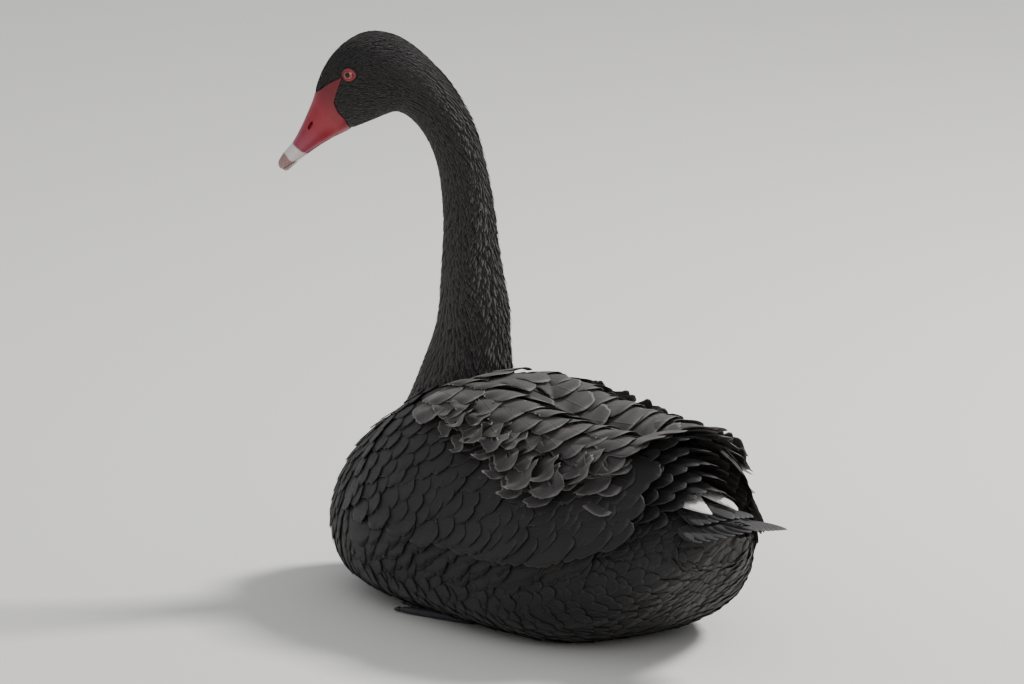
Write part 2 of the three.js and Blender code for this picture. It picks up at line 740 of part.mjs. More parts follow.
// Colours as the photo shows them, and how rough the surface looks.
const LOOKS = {
  plumage: { color: "#26252a", roughness: 0.85 },
  neck: { color: "#222125", roughness: 0.8 },
  white_vanes: { color: "#e6e3dc", roughness: 0.7 },
  bill: { color: "#b8323f", roughness: 0.45 },
  nail: { color: "#d8b9b6", roughness: 0.5 },
  eye: { color: "#a32018", roughness: 0.1 },
  leg: { color: "#35353a", roughness: 0.65 },
};
const LOOK_OF = [
  [/^bill_nail/, "nail"],
  [/^bill/, "bill"],
  [/^eye/, "eye"],
  [/^neck|^head/, "neck"],
  [/^flight/, "white_vanes"],
  [/^leg|^foot/, "leg"],
  [/./, "plumage"],
];

function meshOf(name, made) {
  const out = made.getMesh();
  const stride = out.numProp;
  const points = new Float32Array(out.numVert * 3);
  for (let i = 0; i < out.numVert; i++) {
    points.set(out.vertProperties.subarray(i * stride, i * stride + 3), i * 3);
  }
  const geometry = new THREE.BufferGeometry();
  geometry.setAttribute("position", new THREE.BufferAttribute(points, 3));
  geometry.setIndex(new THREE.BufferAttribute(out.triVerts, 1));
  geometry.computeVertexNormals();
  const look = LOOKS[LOOK_OF.find(([pattern]) => pattern.test(name))[1]];
  const mesh = new THREE.Mesh(geometry, new THREE.MeshStandardMaterial({ ...look, metalness: 0 }));
  mesh.name = name;
  return mesh;
}

const swan = new THREE.Group();
for (const [name, s] of parts) swan.add(meshOf(name, largest(s)));
export default swan;
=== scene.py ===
"""A black swan at rest: one skin with mesh feathers over it, bill, eyes and feet.

Everything is laid out in millimetres from the same named sizes as the CAD part:
+X forward (breast), +Y the bird's left, +Z up, the origin on the floor under the belly.
"""

import math

import bmesh
import bpy
import numpy as np
from mathutils import Matrix, Vector


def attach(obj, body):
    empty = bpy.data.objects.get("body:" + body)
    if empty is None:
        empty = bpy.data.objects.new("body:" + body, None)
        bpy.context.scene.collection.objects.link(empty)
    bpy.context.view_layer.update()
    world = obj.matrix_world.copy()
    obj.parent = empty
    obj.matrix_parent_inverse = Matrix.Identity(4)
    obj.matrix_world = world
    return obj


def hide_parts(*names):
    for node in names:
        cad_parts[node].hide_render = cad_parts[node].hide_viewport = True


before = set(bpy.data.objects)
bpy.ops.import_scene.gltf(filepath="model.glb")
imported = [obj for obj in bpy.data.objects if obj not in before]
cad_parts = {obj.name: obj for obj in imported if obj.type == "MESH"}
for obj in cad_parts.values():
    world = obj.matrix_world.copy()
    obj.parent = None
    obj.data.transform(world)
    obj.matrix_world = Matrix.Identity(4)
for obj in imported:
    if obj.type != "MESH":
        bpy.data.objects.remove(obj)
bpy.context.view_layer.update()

MM = 0.001

# Driving sizes, as in the solids
BREAST_X = 250
RUMP_X = -207
W = 115  # half width of the body
H = 167  # height of the back
WING_RISE = 24
WING_REAR = -150
WING_FRONT = 172
WING_LOW, WING_CLEAR = 1.22, 1.42  # angles from straight up between which the wing ends
NECK_X = 141
HEAD_TURN = math.radians(44)
EYE_RADIUS = 6.4
COAT_DEPTH = 1.3  # skin under the outer surface of the solids
SKIN_OVER_FLOOR = 0.8
FEATHER_OVER_FLOOR = 0.35
SIDES = (("left", 1), ("right", -1))

# The photo's view, in metres: from behind the bird's left side, through a long lens
CAMERA_AZIMUTH, CAMERA_ELEVATION = math.radians(235.5), math.radians(11.5)
CAMERA_AIM = (0.045, 0.02, 0.216)
CAMERA_DISTANCE = 8.02
CAMERA_LENS = 360
FLOOR_EDGE = 12
LIT_POINT = (0.05, 0, 0.2)
LIGHTS = [  # name, place, edge in metres, watts
    ("sun_side", (-0.5, -2.3, 2.5), 0.7, 150),
    ("fill", (-2.6, 2.2, 1.8), 2.2, 26),
]

# Patterns
VANE_UNIT = 100  # millimetres to a unit of the Vane map, which runs across a feather and along it
PATCH = 0.003  # a feather's patch on the unrolled skin
SPECK_MM = 10 / 7  # wear on a vane
BLOTCH_MM = 50 / 7  # blotches of the bill's red
HORN_GRAIN_MM = 10 / 9  # real grain is finer, and is drawn as coarse as it needs to show


def smooth(a, b, x):
    t = np.clip((x - a) / (b - a), 0, 1)
    return t * t * (3 - 2 * t)


def unit(vectors):
    return vectors / (np.linalg.norm(vectors, axis=-1, keepdims=True) + 1e-12)


class Stations:
    """A smooth run of values through rows [x, value, value, ...], read at any x."""

    def __init__(self, rows):
        rows = np.array(rows, float)
        self.x, self.v = rows[:, 0], rows[:, 1:]
        last = len(rows) - 1
        before = np.maximum(np.arange(last + 1) - 1, 0)
        after = np.minimum(np.arange(last + 1) + 1, last)
        self.slope = (self.v[after] - self.v[before]) / (self.x[after] - self.x[before])[:, None]

    def __call__(self, x):
        x = np.clip(np.asarray(x, float), self.x[0], self.x[-1])
        i = np.clip(np.searchsorted(self.x, x, "right") - 1, 0, len(self.x) - 2)
        h = (self.x[i + 1] - self.x[i])[..., None]
        t = (x - self.x[i])[..., None] / h
        b, c = self.v[i], self.v[i + 1]
        p, q = self.slope[i] * h, self.slope[i + 1] * h
        value = (2 * t**3 - 3 * t**2 + 1) * b + (t**3 - 2 * t**2 + t) * p
        value = value + (3 * t**2 - 2 * t**3) * c + (t**3 - t**2) * q
        return [value[..., k] for k in range(value.shape[-1])]


torso_at = Stations([
    [RUMP_X, 0.1 * W, 99, 92, 0.62 * H],
    [-196, 0.29 * W, 96, 76, 0.69 * H],
    [-170, 0.5 * W, 84, 50, 0.77 * H],
    [-125, 0.75 * W, 64, 17, 0.85 * H],
    [-75, 0.9 * W, 52, -1, 0.89 * H],
    [-20, 0.97 * W, 46, -3, 0.93 * H],
    [50, W, 44, -3, H],
    [110, 0.985 * W, 44, -3, 0.99 * H],
    [160, 0.91 * W, 47, 0, 0.95 * H],
    [200, 0.76 * W, 54, 10, 0.85 * H],
    [232, 0.5 * W, 62, 26, 0.7 * H],
    [BREAST_X, 0.12 * W, 72, 60, 0.51 * H],
])
UPPER_POWER = 1.75
LOWER_POWER = 2.5
wing_height_at = Stations([
    [WING_REAR, 1.42],
    [-110, 1.22],
    [-50, 0.96],
    [0, 0.82],
    [50, 0.72],
    [95, 0.66],
    [130, 0.46],
    [155, 0.28],
    [WING_FRONT, 0.1],
])


def torso_radius(x, phi):
    half, wide, under, back = torso_at(x)
    up = np.cos(phi) > 0
    tall = np.maximum(1, np.where(up, back - wide, wide - under))
    power = np.where(up, UPPER_POWER, LOWER_POWER)
    side = np.abs(np.sin(phi)) / half
    rise = np.abs(np.cos(phi)) / tall
    return (side**power + rise**power) ** (-1 / power)


def wing_full(x, phi):
    groove = 0.16 + 0.84 * np.maximum(smooth(0, 0.3, phi), 0.7 * smooth(15, 70, x))
    side = 1 - 0.62 * smooth(0.3, 1.25, phi)
    return WING_RISE * wing_height_at(x)[0] * groove * side


def over_wing_edge(x, z):
    """How far a point lies before and above the folded wing's slanting lower rear edge."""
    return 0.67 * (x + 70) + 0.74 * (z - 26)


def body_point(x, phi, lift):
    """A point lift over the torso's surface, phi measured from straight up."""
    r = torso_radius(x, np.abs(phi)) + lift
    return np.stack([x + 0 * r, r * np.sin(phi), torso_at(x)[1] + r * np.cos(phi)], -1)


def way_over_body(x):
    """How far each x lies from the breast's centre, over the skin."""
    half, _, under, back = torso_at(x)
    radius = half / 2 + (back - under) / 4
    steps = np.hypot(np.diff(x), np.diff(radius))
    return radius[0] + np.concatenate([[0], np.cumsum(steps)])


BODY_X = np.linspace(BREAST_X, RUMP_X, 458)
BODY_WAY = way_over_body(BODY_X)
BEYOND = 200  # the way goes on straight behind the rump
BREAST_WAY = 104  # within this way of the breast's centre feathers fall down from the neck


def x_at(way):
    return np.interp(way, [*BODY_WAY, BODY_WAY[-1] + BEYOND], [*BODY_X, RUMP_X - BEYOND])


def way_at(x):
    return np.interp(-np.asarray(x, float), -BODY_X, BODY_WAY)


def reach(way, phi, on_wing):
    """How far the coat lies from the body's middle line; it closes in round the tail."""
    x = x_at(way)
    inner = np.maximum(RUMP_X + 12, x)
    side = np.abs(phi)
    r = torso_radius(inner, side)
    r = r + wing_full(inner, side) if on_wing else r * (1 - 0.8 * smooth(RUMP_X + 12, RUMP_X - 24, x))
    return r * np.clip(way / BODY_WAY[0], 0.05, 1)


def surface(way, phi, on_wing):
    """A point of the coat's surface, way millimetres over it from the breast's centre."""
    x = x_at(way)
    r = reach(way, phi, on_wing)
    middle = torso_at(np.maximum(RUMP_X + 12, x))[1] + 18 * smooth(RUMP_X + 12, RUMP_X - 24, x)
    return np.stack([x + 0 * r, r * np.sin(phi), middle + r * np.cos(phi)], -1)


def over_surface(way, phi, lift, on_wing):
    here = surface(way, phi, on_wing)
    out = np.cross(surface(way, phi + 0.01, on_wing) - here, surface(way + 1, phi, on_wing) - here)
    return here + unit(out) * lift[..., None]


# Neck and head: [t, z] of the nape or crown side, [t, z] of the throat side, half width.
NECK = [
    [-30, 96, 66, 112, 44],
    [-38, 134, 52, 142, 41],
    [-39, 166, 37, 168, 36],
    [-40, 201, 20, 203, 29],
    [-41, 226, 13, 226, 26.5],
    [-35, 253, 12, 252, 23.5],
    [-28, 281, 12, 279, 20.8],
    [-22, 311, 15, 307, 19.2],
    [-16.5, 340, 19.5, 337, 18.6],
    [-9, 367, 26, 356, 18.8],
    [0, 387, 35, 370.5, 19.6],
    [11, 404, 45, 379.5, 21],
    [22, 417, 54, 382, 22.6],
    [36, 430, 63, 379, 24.4],
    [51, 440, 72, 375, 25.8],
    [66, 444.5, 80, 371.5, 26.2],
    [80, 443.8, 87, 368.5, 25.6],
    [93, 437.5, 92.5, 365.5, 24],
    [104.5, 427, 97, 363, 21.4],
    [112.5, 415, 101, 361, 18.4],
    [117.5, 403, 105, 359, 16.4],
]
BILL = [
    [120.8, 390.5, 109, 356.5, 15.2],
    [126, 377.5, 116, 352, 14.8],
    [131.5, 365.5, 123.5, 346.5, 14.4],
    [137.5, 354.5, 130, 341.5, 14],
    [144, 346.5, 136.5, 336, 12.6],
    [149, 338.5, 142, 331, 8.5],
    [149.5, 334, 145.5, 330.5, 3],
]
PROFILE_POWER = 2.2
profile_at = Stations([[i, *row] for i, row in enumerate(NECK + BILL)])
slim_profile_at = Stations([[i, *row[:4], row[4] - 1.3] for i, row in enumerate(NECK + BILL)])
HEAD_FROM = 12.4  # station where the neck becomes the head
NECK_PARTS = (("neck_lower", 0, 4.6), ("neck_middle", 4.6, 7.25), ("neck_upper", 7.25, 99))
TIP = len(NECK) + len(BILL) - 1


def head_point(t, z, lateral, turn=HEAD_TURN):
    """A point by its run t and height z in the head's plane, and how far it lies to the left."""
    x = NECK_X + t * np.cos(turn) - lateral * np.sin(turn)
    y = t * np.sin(turn) + lateral * np.cos(turn)
    return np.stack([x, y, z + 0 * x], -1)


def profile_tz(v, angle, lift, stations=profile_at):
    """Where station v's ring is at an angle, from the nape side round to the left."""
    ut, uz, lt, lz, half = stations(v)
    depth = np.hypot(ut - lt, uz - lz) / 2
    c, s = np.cos(angle), np.sin(angle)
    curve = lambda q: np.sign(q) * np.abs(q) ** (2 / PROFILE_POWER)
    rise = (depth + lift) * curve(c)
    t = (ut + lt) / 2 + (ut - lt) / (2 * depth) * rise
    z = (uz + lz) / 2 + (uz - lz) / (2 * depth) * rise
    return t, z, (half + lift) * curve(s)


def profile_point(v, angle, lift, stations=profile_at):
    """The same in space: up the neck its plane turns from straight ahead to the head's."""
    t, z, lateral = profile_tz(v, angle, lift, stations)
    return head_point(t, z, lateral, HEAD_TURN * smooth(262, 345, z + 0.55 * np.maximum(0, t - 40)))


# Naked skin of the bill and lores from the side, anticlockwise.
BILL_OUTLINE = [
    (123.5, 392), (114, 398), (104, 405.5), (93, 411.5), (97.5, 400), (100.5, 390), (97.5, 382.5),
    (92.5, 377), (91, 369), (88, 362), (92, 338), (150, 313), (175, 338), (150, 398),
]
MANDIBLE_OUTLINE = [
    (165, 320), (146, 332.6), (141, 335.5), (132, 342.2), (120, 350.5), (106, 359.4), (93, 365.8),
    (84, 369), (60, 340), (120, 290),
]
NAIL_OUTLINE = [(170, 350), (145.5, 347), (142.5, 340), (141, 330), (150, 318)]
MOUTH_GAP = 0.3
# Run, height and distance to the side of the eyeball's and the nostril's centres
EYE = (86.6, 413.5, 21.2)
NOSTRIL = (121, 370, 12.6)
NOSTRIL_HALF = (4.4, 4.2, 1.3)  # half its length, depth and width


# Mesh building


def linked(name, data):
    """A new object in the scene."""
    obj = bpy.data.objects.new(name, data)
    bpy.context.scene.collection.objects.link(obj)
    return obj


def shaped(name, shape):
    """A new object of a finished bmesh."""
    mesh = bpy.data.meshes.new(name)
    shape.to_mesh(mesh)
    shape.free()
    return linked(name, mesh)


def mesh_object(name, points, quads):
    """A smooth mesh from points in millimetres and an array of quads."""
    mesh = bpy.data.meshes.new(name)
    points = np.asarray(points, float).reshape(-1, 3) * MM
    quads = np.asarray(quads, np.int32).reshape(-1, 4)
    mesh.vertices.add(len(points))
    mesh.vertices.foreach_set("co", points.ravel())
    mesh.loops.add(quads.size)
    mesh.loops.foreach_set("vertex_index", quads.ravel())
    mesh.polygons.add(len(quads))
    mesh.polygons.foreach_set("loop_start", np.arange(len(quads), dtype=np.int32) * 4)
    mesh.polygons.foreach_set("use_smooth", np.ones(len(quads), bool))
    mesh.update(calc_edges=True)
    return linked(name, mesh)


def ring_quads(rings, around):
    i, j = np.meshgrid(np.arange(rings - 1), np.arange(around), indexing="ij")
    k = (j + 1) % around
    a, b = i * around + j, i * around + k
    return np.stack([a, b, b + around, a + around], -1).reshape(-1, 4)


def loft(name, rings):
    """A closed body through an array of rings [ring, around, xyz], its ends pinched shut."""
    ends = [np.repeat(rings[k].mean(0)[None], rings.shape[1], 0) for k in (0, -1)]
    rings = np.concatenate([ends[0][None], rings, ends[1][None]])
    obj = mesh_object(name, rings, ring_quads(rings.shape[0], rings.shape[1]))
    clean = bmesh.new()
    clean.from_mesh(obj.data)
    bmesh.ops.remove_doubles(clean, verts=clean.verts, dist=1e-6)
    bmesh.ops.recalc_face_normals(clean, faces=clean.faces)
    clean.to_mesh(obj.data)
    clean.free()
    return obj


def joined(name, objects):
    """One object made of several."""
    merged = bmesh.new()
    for obj in objects:
        merged.from_mesh(obj.data)
        bpy.data.objects.remove(obj)
    return shaped(name, merged)


def with_modifier(obj, kind, **settings):
    """Adds a modifier and applies it."""
    modifier = obj.modifiers.new(kind, kind)
    for key, value in settings.items():
        setattr(modifier, key, value)
    deps = bpy.context.evaluated_depsgraph_get()
    made = bpy.data.meshes.new_from_object(obj.evaluated_get(deps))
    obj.modifiers.clear()
    obj.data = made
    return obj


def rounded(obj, voxel_mm, passes):
    """One closed surface with softened edges."""
    with_modifier(obj, "REMESH", mode="VOXEL", voxel_size=voxel_mm * MM)
    with_modifier(obj, "SMOOTH", iterations=passes, factor=0.5)
    obj.data.polygons.foreach_set("use_smooth", np.ones(len(obj.data.polygons), bool))
    return obj


def prism(outline, spread=70):
    """An outline in the head's profile plane, spread sideways."""
    shape = bmesh.new()
    verts = [shape.verts.new(head_point(t, z, side) * MM) for side in (-spread, spread) for t, z in outline]
    count = len(outline)
    shape.faces.new(verts[:count])
    shape.faces.new(verts[count:][::-1])
    for i in range(count):
        j = (i + 1) % count
        shape.faces.new([verts[j], verts[i], verts[count + i], verts[count + j]])
    bmesh.ops.recalc_face_normals(shape, faces=shape.faces)
    return shaped("prism", shape)


def grown_outline(outline, by):
    """An anticlockwise outline moved outward by the same distance all round."""
    points = np.array(outline, float)
    before, after = points - np.roll(points, 1, 0), np.roll(points, -1, 0) - points
    normal = lambda d: np.stack([d[:, 1], -d[:, 0]], -1) / np.hypot(d[:, 0], d[:, 1])[:, None]
    n1, n2 = normal(before), normal(after)
    return points + (n1 + n2) * (by / (1 + (n1 * n2).sum(1)))[:, None]


def combine(obj, other, operation):
    with_modifier(obj, "BOOLEAN", operation=operation, object=other, solver="EXACT")
    bpy.data.objects.remove(other)
    return obj


# Materials

BLEND = {"data_type": "RGBA"}
SOFT_STEP = {"interpolation_type": "SMOOTHSTEP"}
SCALED_AND_ADDED = {"operation": "MULTIPLY_ADD"}


def linear(hex_colour):
    parts = [int(hex_colour[i:i + 2], 16) / 255 for i in (1, 3, 5)]
    return [p / 12.92 if p <= 0.04045 else ((p + 0.055) / 1.055) ** 2.4 for p in parts] + [1]


def feed(made, inputs):
    """Fills a node's sockets, each with another node's output, a hex colour or a constant."""
    for key, value in inputs.items():
        if isinstance(value, bpy.types.NodeSocket):
            made.id_data.links.new(value, made.inputs[key])
        else:
            made.inputs[key].default_value = linear(value) if isinstance(value, str) else value


def node(tree, kind, inputs, **settings):
    """Adds a node with its settings and inputs, and gives its outputs."""
    made = tree.nodes.new("ShaderNode" + kind)
    for key, value in settings.items():
        setattr(made, key, value)
    feed(made, inputs)
    return made.outputs


def new_material(name, inputs):
    """A material, its node tree and its shader, whose inputs are filled."""
    material = bpy.data.materials.new(name)
    material.use_nodes = True
    shader = material.node_tree.nodes["Principled BSDF"]
    feed(shader, inputs)
    return material, material.node_tree, shader


def grained(name, kind, grain_mm, detail, first, second, inputs, relief=None):
    """A material whose colour runs between two with a grain. relief is the grain's strength and
    depth in millimetres, and is pressed in where the strength is negative."""
    material, tree, shader = new_material(name, inputs)
    where = node(tree, "TexCoord", {})["Object"]
    grain = node(tree, kind, {"Vector": where, "Scale": 1 / (grain_mm * MM), "Detail": detail})[0]
    feed(shader, {"Base Color": node(tree, "Mix", {0: grain, 6: first, 7: second}, **BLEND)[2]})
    if relief:
        strength, depth_mm = relief
        bump = {"Height": grain, "Strength": abs(strength), "Distance": depth_mm * MM}
        feed(shader, {"Normal": node(tree, "Bump", bump, invert=strength < 0)[0]})
    return material


def feather_material(name, dark, light, edge, sheen, roughness=0.62, barb_mm=1.2):
    """A feather grown of barbs that hook together: a dull vane, finely ribbed aslant to its shaft, with
    paler edges and a tone of its own; the edges are worn, and in the plumes and the neck also painted
    highlight. The sheen is the soft light that the barbs' fringes catch.
    """
    material, tree, shader = new_material(name, {
        "Roughness": roughness, "Specular IOR Level": 0.35,
        "Sheen Weight": sheen, "Sheen Roughness": 0.45, "Sheen Tint": "#9a948f",
    })
    vane = node(tree, "UVMap", {}, uv_map="Vane")[0]
    to_side, along, _ = node(tree, "SeparateXYZ", {0: vane})
    across = node(tree, "Math", {0: to_side}, operation="ABSOLUTE")[0]
    slanted = node(tree, "Math", {0: across, 1: -1.1, 2: along}, **SCALED_AND_ADDED)[0]
    speck = node(tree, "TexNoise", {"Vector": vane, "Scale": VANE_UNIT / SPECK_MM, "Detail": 2})[0]
    wander = node(tree, "Math", {0: speck, 1: 0.012, 2: slanted}, **SCALED_AND_ADDED)[0]
    turns = node(tree, "Math", {0: wander, 1: 2 * math.pi * VANE_UNIT / barb_mm}, operation="MULTIPLY")[0]
    barbs = node(tree, "Math", {0: turns}, operation="SINE")[0]
    tone = node(tree, "Attribute", {}, attribute_name="tone")["Fac"]
    rim = node(tree, "Attribute", {}, attribute_name="rim")["Fac"]
    base = node(tree, "Mix", {0: tone, 6: dark, 7: light}, **BLEND)[2]
    # Paler edges: real wear, and where the edge colour is bright, as in the plumes and the neck, also
    # painted highlight.
    worn_and_highlit_edge = node(tree, "Math", {0: speck, 1: 0.25, 2: rim}, **SCALED_AND_ADDED)[0]
    worn_and_highlit_edge = node(tree, "MapRange", {0: worn_and_highlit_edge, 1: 0.72, 2: 1.05, 4: 0.75}, **SOFT_STEP)[0]
    coloured = node(tree, "Mix", {0: worn_and_highlit_edge, 6: base, 7: edge}, **BLEND)[2]
    streak = node(tree, "MapRange", {0: barbs, 1: -1, 4: 0.16}, **SOFT_STEP)[0]
    coloured = node(tree, "Mix", {0: streak, 6: coloured, 7: edge}, **BLEND)[2]
    shaft = {0: across, 1: 0.2 / VANE_UNIT, 2: 0.9 / VANE_UNIT, 3: 1.6, 4: 0}
    shaft = node(tree, "MapRange", shaft, **SOFT_STEP)[0]
    height = node(tree, "Math", {0: barbs, 1: 0.35, 2: shaft}, **SCALED_AND_ADDED)[0]
    bump = node(tree, "Bump", {"Height": height, "Strength": 0.5, "Distance": 0.25 * MM})[0]
    feed(shader, {"Base Color": coloured, "Normal": bump})
    return material


def put(obj, materials, slot_name, *cad_nodes):
    """Gives a piece its materials, and its place among the CAD's nodes."""
    for material in materials:
        obj.data.materials.append(material)
    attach(obj, "root")
    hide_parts(*cad_nodes)


# Feathers

ROUNDED = Stations([[0, 0.3], [0.12, 0.66], [0.35, 0.96], [0.62, 1], [0.82, 0.84], [0.94, 0.5], [1, 0.12]])
PLUME = Stations([[0, 0.4], [0.2, 0.85], [0.45, 1], [0.7, 0.96], [0.87, 0.74], [0.96, 0.4], [1, 0.06]])
POINTED = Stations([[0, 0.45], [0.15, 0.85], [0.4, 1], [0.65, 0.8], [0.85, 0.42], [1, 0.05]])


def vanes(name, material, slot_name, cad_node, place, length, half, root_uv, along, across,
          thick=0.5, seed=1, shape=ROUNDED, fray=0.0):
    """One piece of the coat, many feathers as thin hollow plates. place(s, w) gives the middle
    layer of them all, for s from root to tip and w millimetres across, as an array
    [feather, along, across, xyz]. Fray is how deep, as a share of the width, edges are notched.
    """
    count = len(length)
    rng = np.random.default_rng(seed)
    share = (np.linspace(0, 1, along + 1) ** 0.85)[None, :, None]
    to_side = np.linspace(-1, 1, across)
    notch = fray * rng.random((count, along + 1, 2)) ** 2 * smooth(0.2, 0.6, share)
    notch = notch[:, :, :1] * np.maximum(-to_side, 0) ** 2 + notch[:, :, 1:] * np.maximum(to_side, 0) ** 2
    w = half[:, None, None] * shape(share)[0] * to_side * (1 - notch)
    s = np.broadcast_to(share, w.shape)
    centre = place(s, w)
    normal = unit(np.cross(place(s, w + 1e-2) - centre, place(s + 1e-3, w) - centre))
    body = thick * (1 - 0.5 * s) * (1 - 0.75 * to_side**2) / 2

    def there_and_back(top, bottom):
        return np.concatenate([top, bottom[:, :, -2:0:-1]], 2)

    points = there_and_back(centre + normal * body[..., None], centre - normal * body[..., None])
    around = points.shape[2]
    k = np.arange(1, across - 2)
    cap = np.stack([k, k + 1, around - k - 1, around - k], -1)
    quads = np.concatenate([ring_quads(along + 1, around), cap[:, ::-1], cap + along * around])
    faces = (quads + (np.arange(count) * (along + 1) * around)[:, None, None]).reshape(-1, 4)
    obj = mesh_object(name, points, faces)

    sideways = there_and_back(w, w)
    run = np.broadcast_to(share * length[:, None, None], sideways.shape)
    edge = np.abs(there_and_back(to_side[None, None], to_side[None, None]))
    rim = np.maximum(edge**3, share**5)
    for key, values in (("rim", rim), ("tone", rng.random(count)[:, None, None])):
        values = np.broadcast_to(values, sideways.shape).astype(np.float32)
        obj.data.attributes.new(key, "FLOAT", "POINT").data.foreach_set("value", values.ravel())
    patch_u = 0.5 + 0.5 * sideways / np.abs(sideways).max(axis=(1, 2), keepdims=True)
    patch = np.stack([patch_u, np.broadcast_to(share, sideways.shape)], -1)
    bake = root_uv[:, None, None] * (1 - PATCH) + PATCH * patch
    for key, values in (("OFBake", bake), ("Vane", np.stack([sideways, run], -1) / VANE_UNIT)):
        values = values.reshape(-1, 2)[faces.ravel()].astype(np.float32)
        obj.data.uv_layers.new(name=key).data.foreach_set("uv", values.ravel())
    put(obj, [material], slot_name, cad_node)


def columns(count, *values):
    """Each value with one number per feather, for use in arrays [feather, along, across]."""
    return [np.broadcast_to(np.asarray(value, float), (count,))[:, None, None] for value in values]


def draped(x, phi, side, length, slant=0.0, root=-1.5, tip=2.5, power=0.7, tilt=0.7, half=10.0,
           wave=0.0, turns=1.3, curl=0.0, on_wing=True):
    """Places feathers over the body: lift runs from root to tip, tilt laps each over its
    neighbour, wave frills the edges, curl bends the sides up."""
    way0, phi, side, length, slant, root, tip, power, tilt, half, wave, turns, curl = columns(
        len(x), way_at(x), phi, side, length, slant, root, tip, power, tilt, half, wave, turns, curl)
    root_reach = reach(way0, phi, on_wing)

    def place(s, w):
        run = s * length
        way = np.maximum(0.5, way0 + run * np.cos(slant) - w * np.sin(slant))
        there = phi + run * np.sin(slant) / root_reach
        there = there + w * np.cos(slant) / np.maximum(4, reach(way, phi, on_wing))
        share = w / half
        frill = wave * share * s * np.sin(2 * np.pi * turns * s + 9 * phi + w / 9)
        ripple = np.sin(4.6 * np.pi * turns * s + way0 / 3 + 2.2 * share)
        frill = frill + 0.45 * wave * s * ripple * np.abs(share)
        lift = root + (tip - root) * np.maximum(s, 0) ** power + tilt * share + curl * share**2 * s
        return over_surface(way, side * there, lift + frill, on_wing)

    return place


def over_breast(way, phi, heading, length, tip, half):
    """Places feathers round the breast's centre, laid out as on flat paper: heading runs from
    straight up (0) over the bird's left to straight down (pi)."""
    left, up, heading, length, tip, half = columns(
        len(way), way * np.sin(phi), way * np.cos(phi), heading, length, tip, half)

    def place(s, w):
        run = s * length
        to_left = left + run * np.sin(heading) + w * np.cos(heading)
        to_up = up + run * np.cos(heading) - w * np.sin(heading)
        lift = -1.5 + (tip + 1.5) * np.maximum(s, 0) ** 0.7 - 0.9 * (w / half) ** 2 * s
        far = np.maximum(0.5, np.hypot(to_left, to_up))
        return over_surface(far, np.arctan2(to_left, to_up), lift, False)

    return place


def open_place(root, tip, across, arch, camber, wave, phase, half):
    """Places feathers held in the open, from root to tip."""
    along = tip - root
    normal = unit(np.cross(across, along))
    normal *= np.where(normal[:, 2:3] < 0, -1, 1)
    root, along, across, normal = [vector[:, None, None] for vector in (root, along, across, normal)]
    arch, camber, wave, phase, half = columns(len(root), arch, camber, wave, phase, half)

    def place(s, w):
        share = w / half
        frill = share * np.sin(2 * np.pi * 1.4 * s + phase) + 0.4 * share**2 * np.sin(9 * s + phase)
        lift = 4 * arch * s * (1 - s) - camber * share**2 + wave * s * frill
        return root + along * s[..., None] + across * w[..., None] + normal * lift[..., None]

    return place


def body_uv(x, phi):
    """The body's skin unrolled: along it, and round it."""
    return np.stack([way_at(x) / (BODY_WAY[-1] + 40), (phi + math.pi) / (2 * math.pi)], -1)


def down_the_profile(v, angle, length, tip, half, root=-1.0, power=0.8, tilt=0.25):
    """Places feathers on the neck and head, pointing back down towards the body."""
    here = profile_point(v, angle, 0)
    step = np.linalg.norm(profile_point(v - 0.05, angle, 0) - here, axis=1) / 0.05
    turn = np.linalg.norm(profile_point(v, angle + 0.02, 0) - here, axis=1) / 0.02
    v, angle, length, tip, half, root, step, turn = columns(
        len(v), v, angle, length, tip, half, root, step, turn)

    def place(s, w):
        lift = root + (tip - root) * np.maximum(s, 0) ** power + tilt * w / half
        return profile_point(np.maximum(0.05, v - s * length / step), angle + w / turn, lift)

    return place


def on_the_floor(place):
    """The same feathers, pressed flat where they would go through the floor."""
    lowest = np.array([-np.inf, -np.inf, FEATHER_OVER_FLOOR])
    return lambda s, w: np.maximum(place(s, w), lowest)


def inside_outline(t, z, outline):
    """Which of the points (t, z) lie within an outline."""
    hits = np.zeros(t.shape, bool)
    for (t1, z1), (t2, z2) in zip(outline, np.roll(np.array(outline), -1, 0)):
        crosses = ((z1 > z) != (z2 > z)) & (t < (t2 - t1) * (z - z1) / (z2 - z1 + 1e-9) + t1)
        hits ^= crosses
    return hits


# Camera, floor and light


def aimed(obj, place, direction):
    """Puts a camera or a light at a place, looking in a direction."""
    obj.location = place
    obj.rotation_mode = "QUATERNION"
    obj.rotation_quaternion = direction.to_track_quat("-Z", "Y")


def set_up_stage():
    camera = linked("camera", bpy.data.cameras.new("camera"))
    bpy.context.scene.camera = camera
    camera.data.lens = CAMERA_LENS
    camera.data.sensor_width = 36
    level = math.cos(CAMERA_ELEVATION)
    back = (math.sin(CAMERA_AZIMUTH) * level, -math.cos(CAMERA_AZIMUTH) * level, math.sin(CAMERA_ELEVATION))
    back = Vector(back)
    aimed(camera, Vector(CAMERA_AIM) + back * CAMERA_DISTANCE, -back)

    corners = [(x * FLOOR_EDGE, y * FLOOR_EDGE, 0) for x, y in ((-1, -1), (1, -1), (1, 1), (-1, 1))]
    floor = linked("floor", bpy.data.meshes.new("floor"))
    floor.data.from_pydata(corners, [], [range(4)])
    # Matt pale paint, rolled on: an even ground that takes soft shadows and no reflections.
    paint = new_material("matt_pale_floor_paint", {"Base Color": "#e6e3dd", "Roughness": 0.9})[0]
    floor.data.materials.append(paint)

    world = bpy.data.worlds.new("studio")
    bpy.context.scene.world = world
    world.use_nodes = True
    feed(world.node_tree.nodes["Background"], {"Color": "#dfe3e8", "Strength": 0.7})
    for name, place, size, power in LIGHTS:
        light = linked(name, bpy.data.lights.new(name, "AREA"))
        light.data.energy = power
        light.data.size = size
        aimed(light, place, Vector(LIT_POINT) - Vector(place))


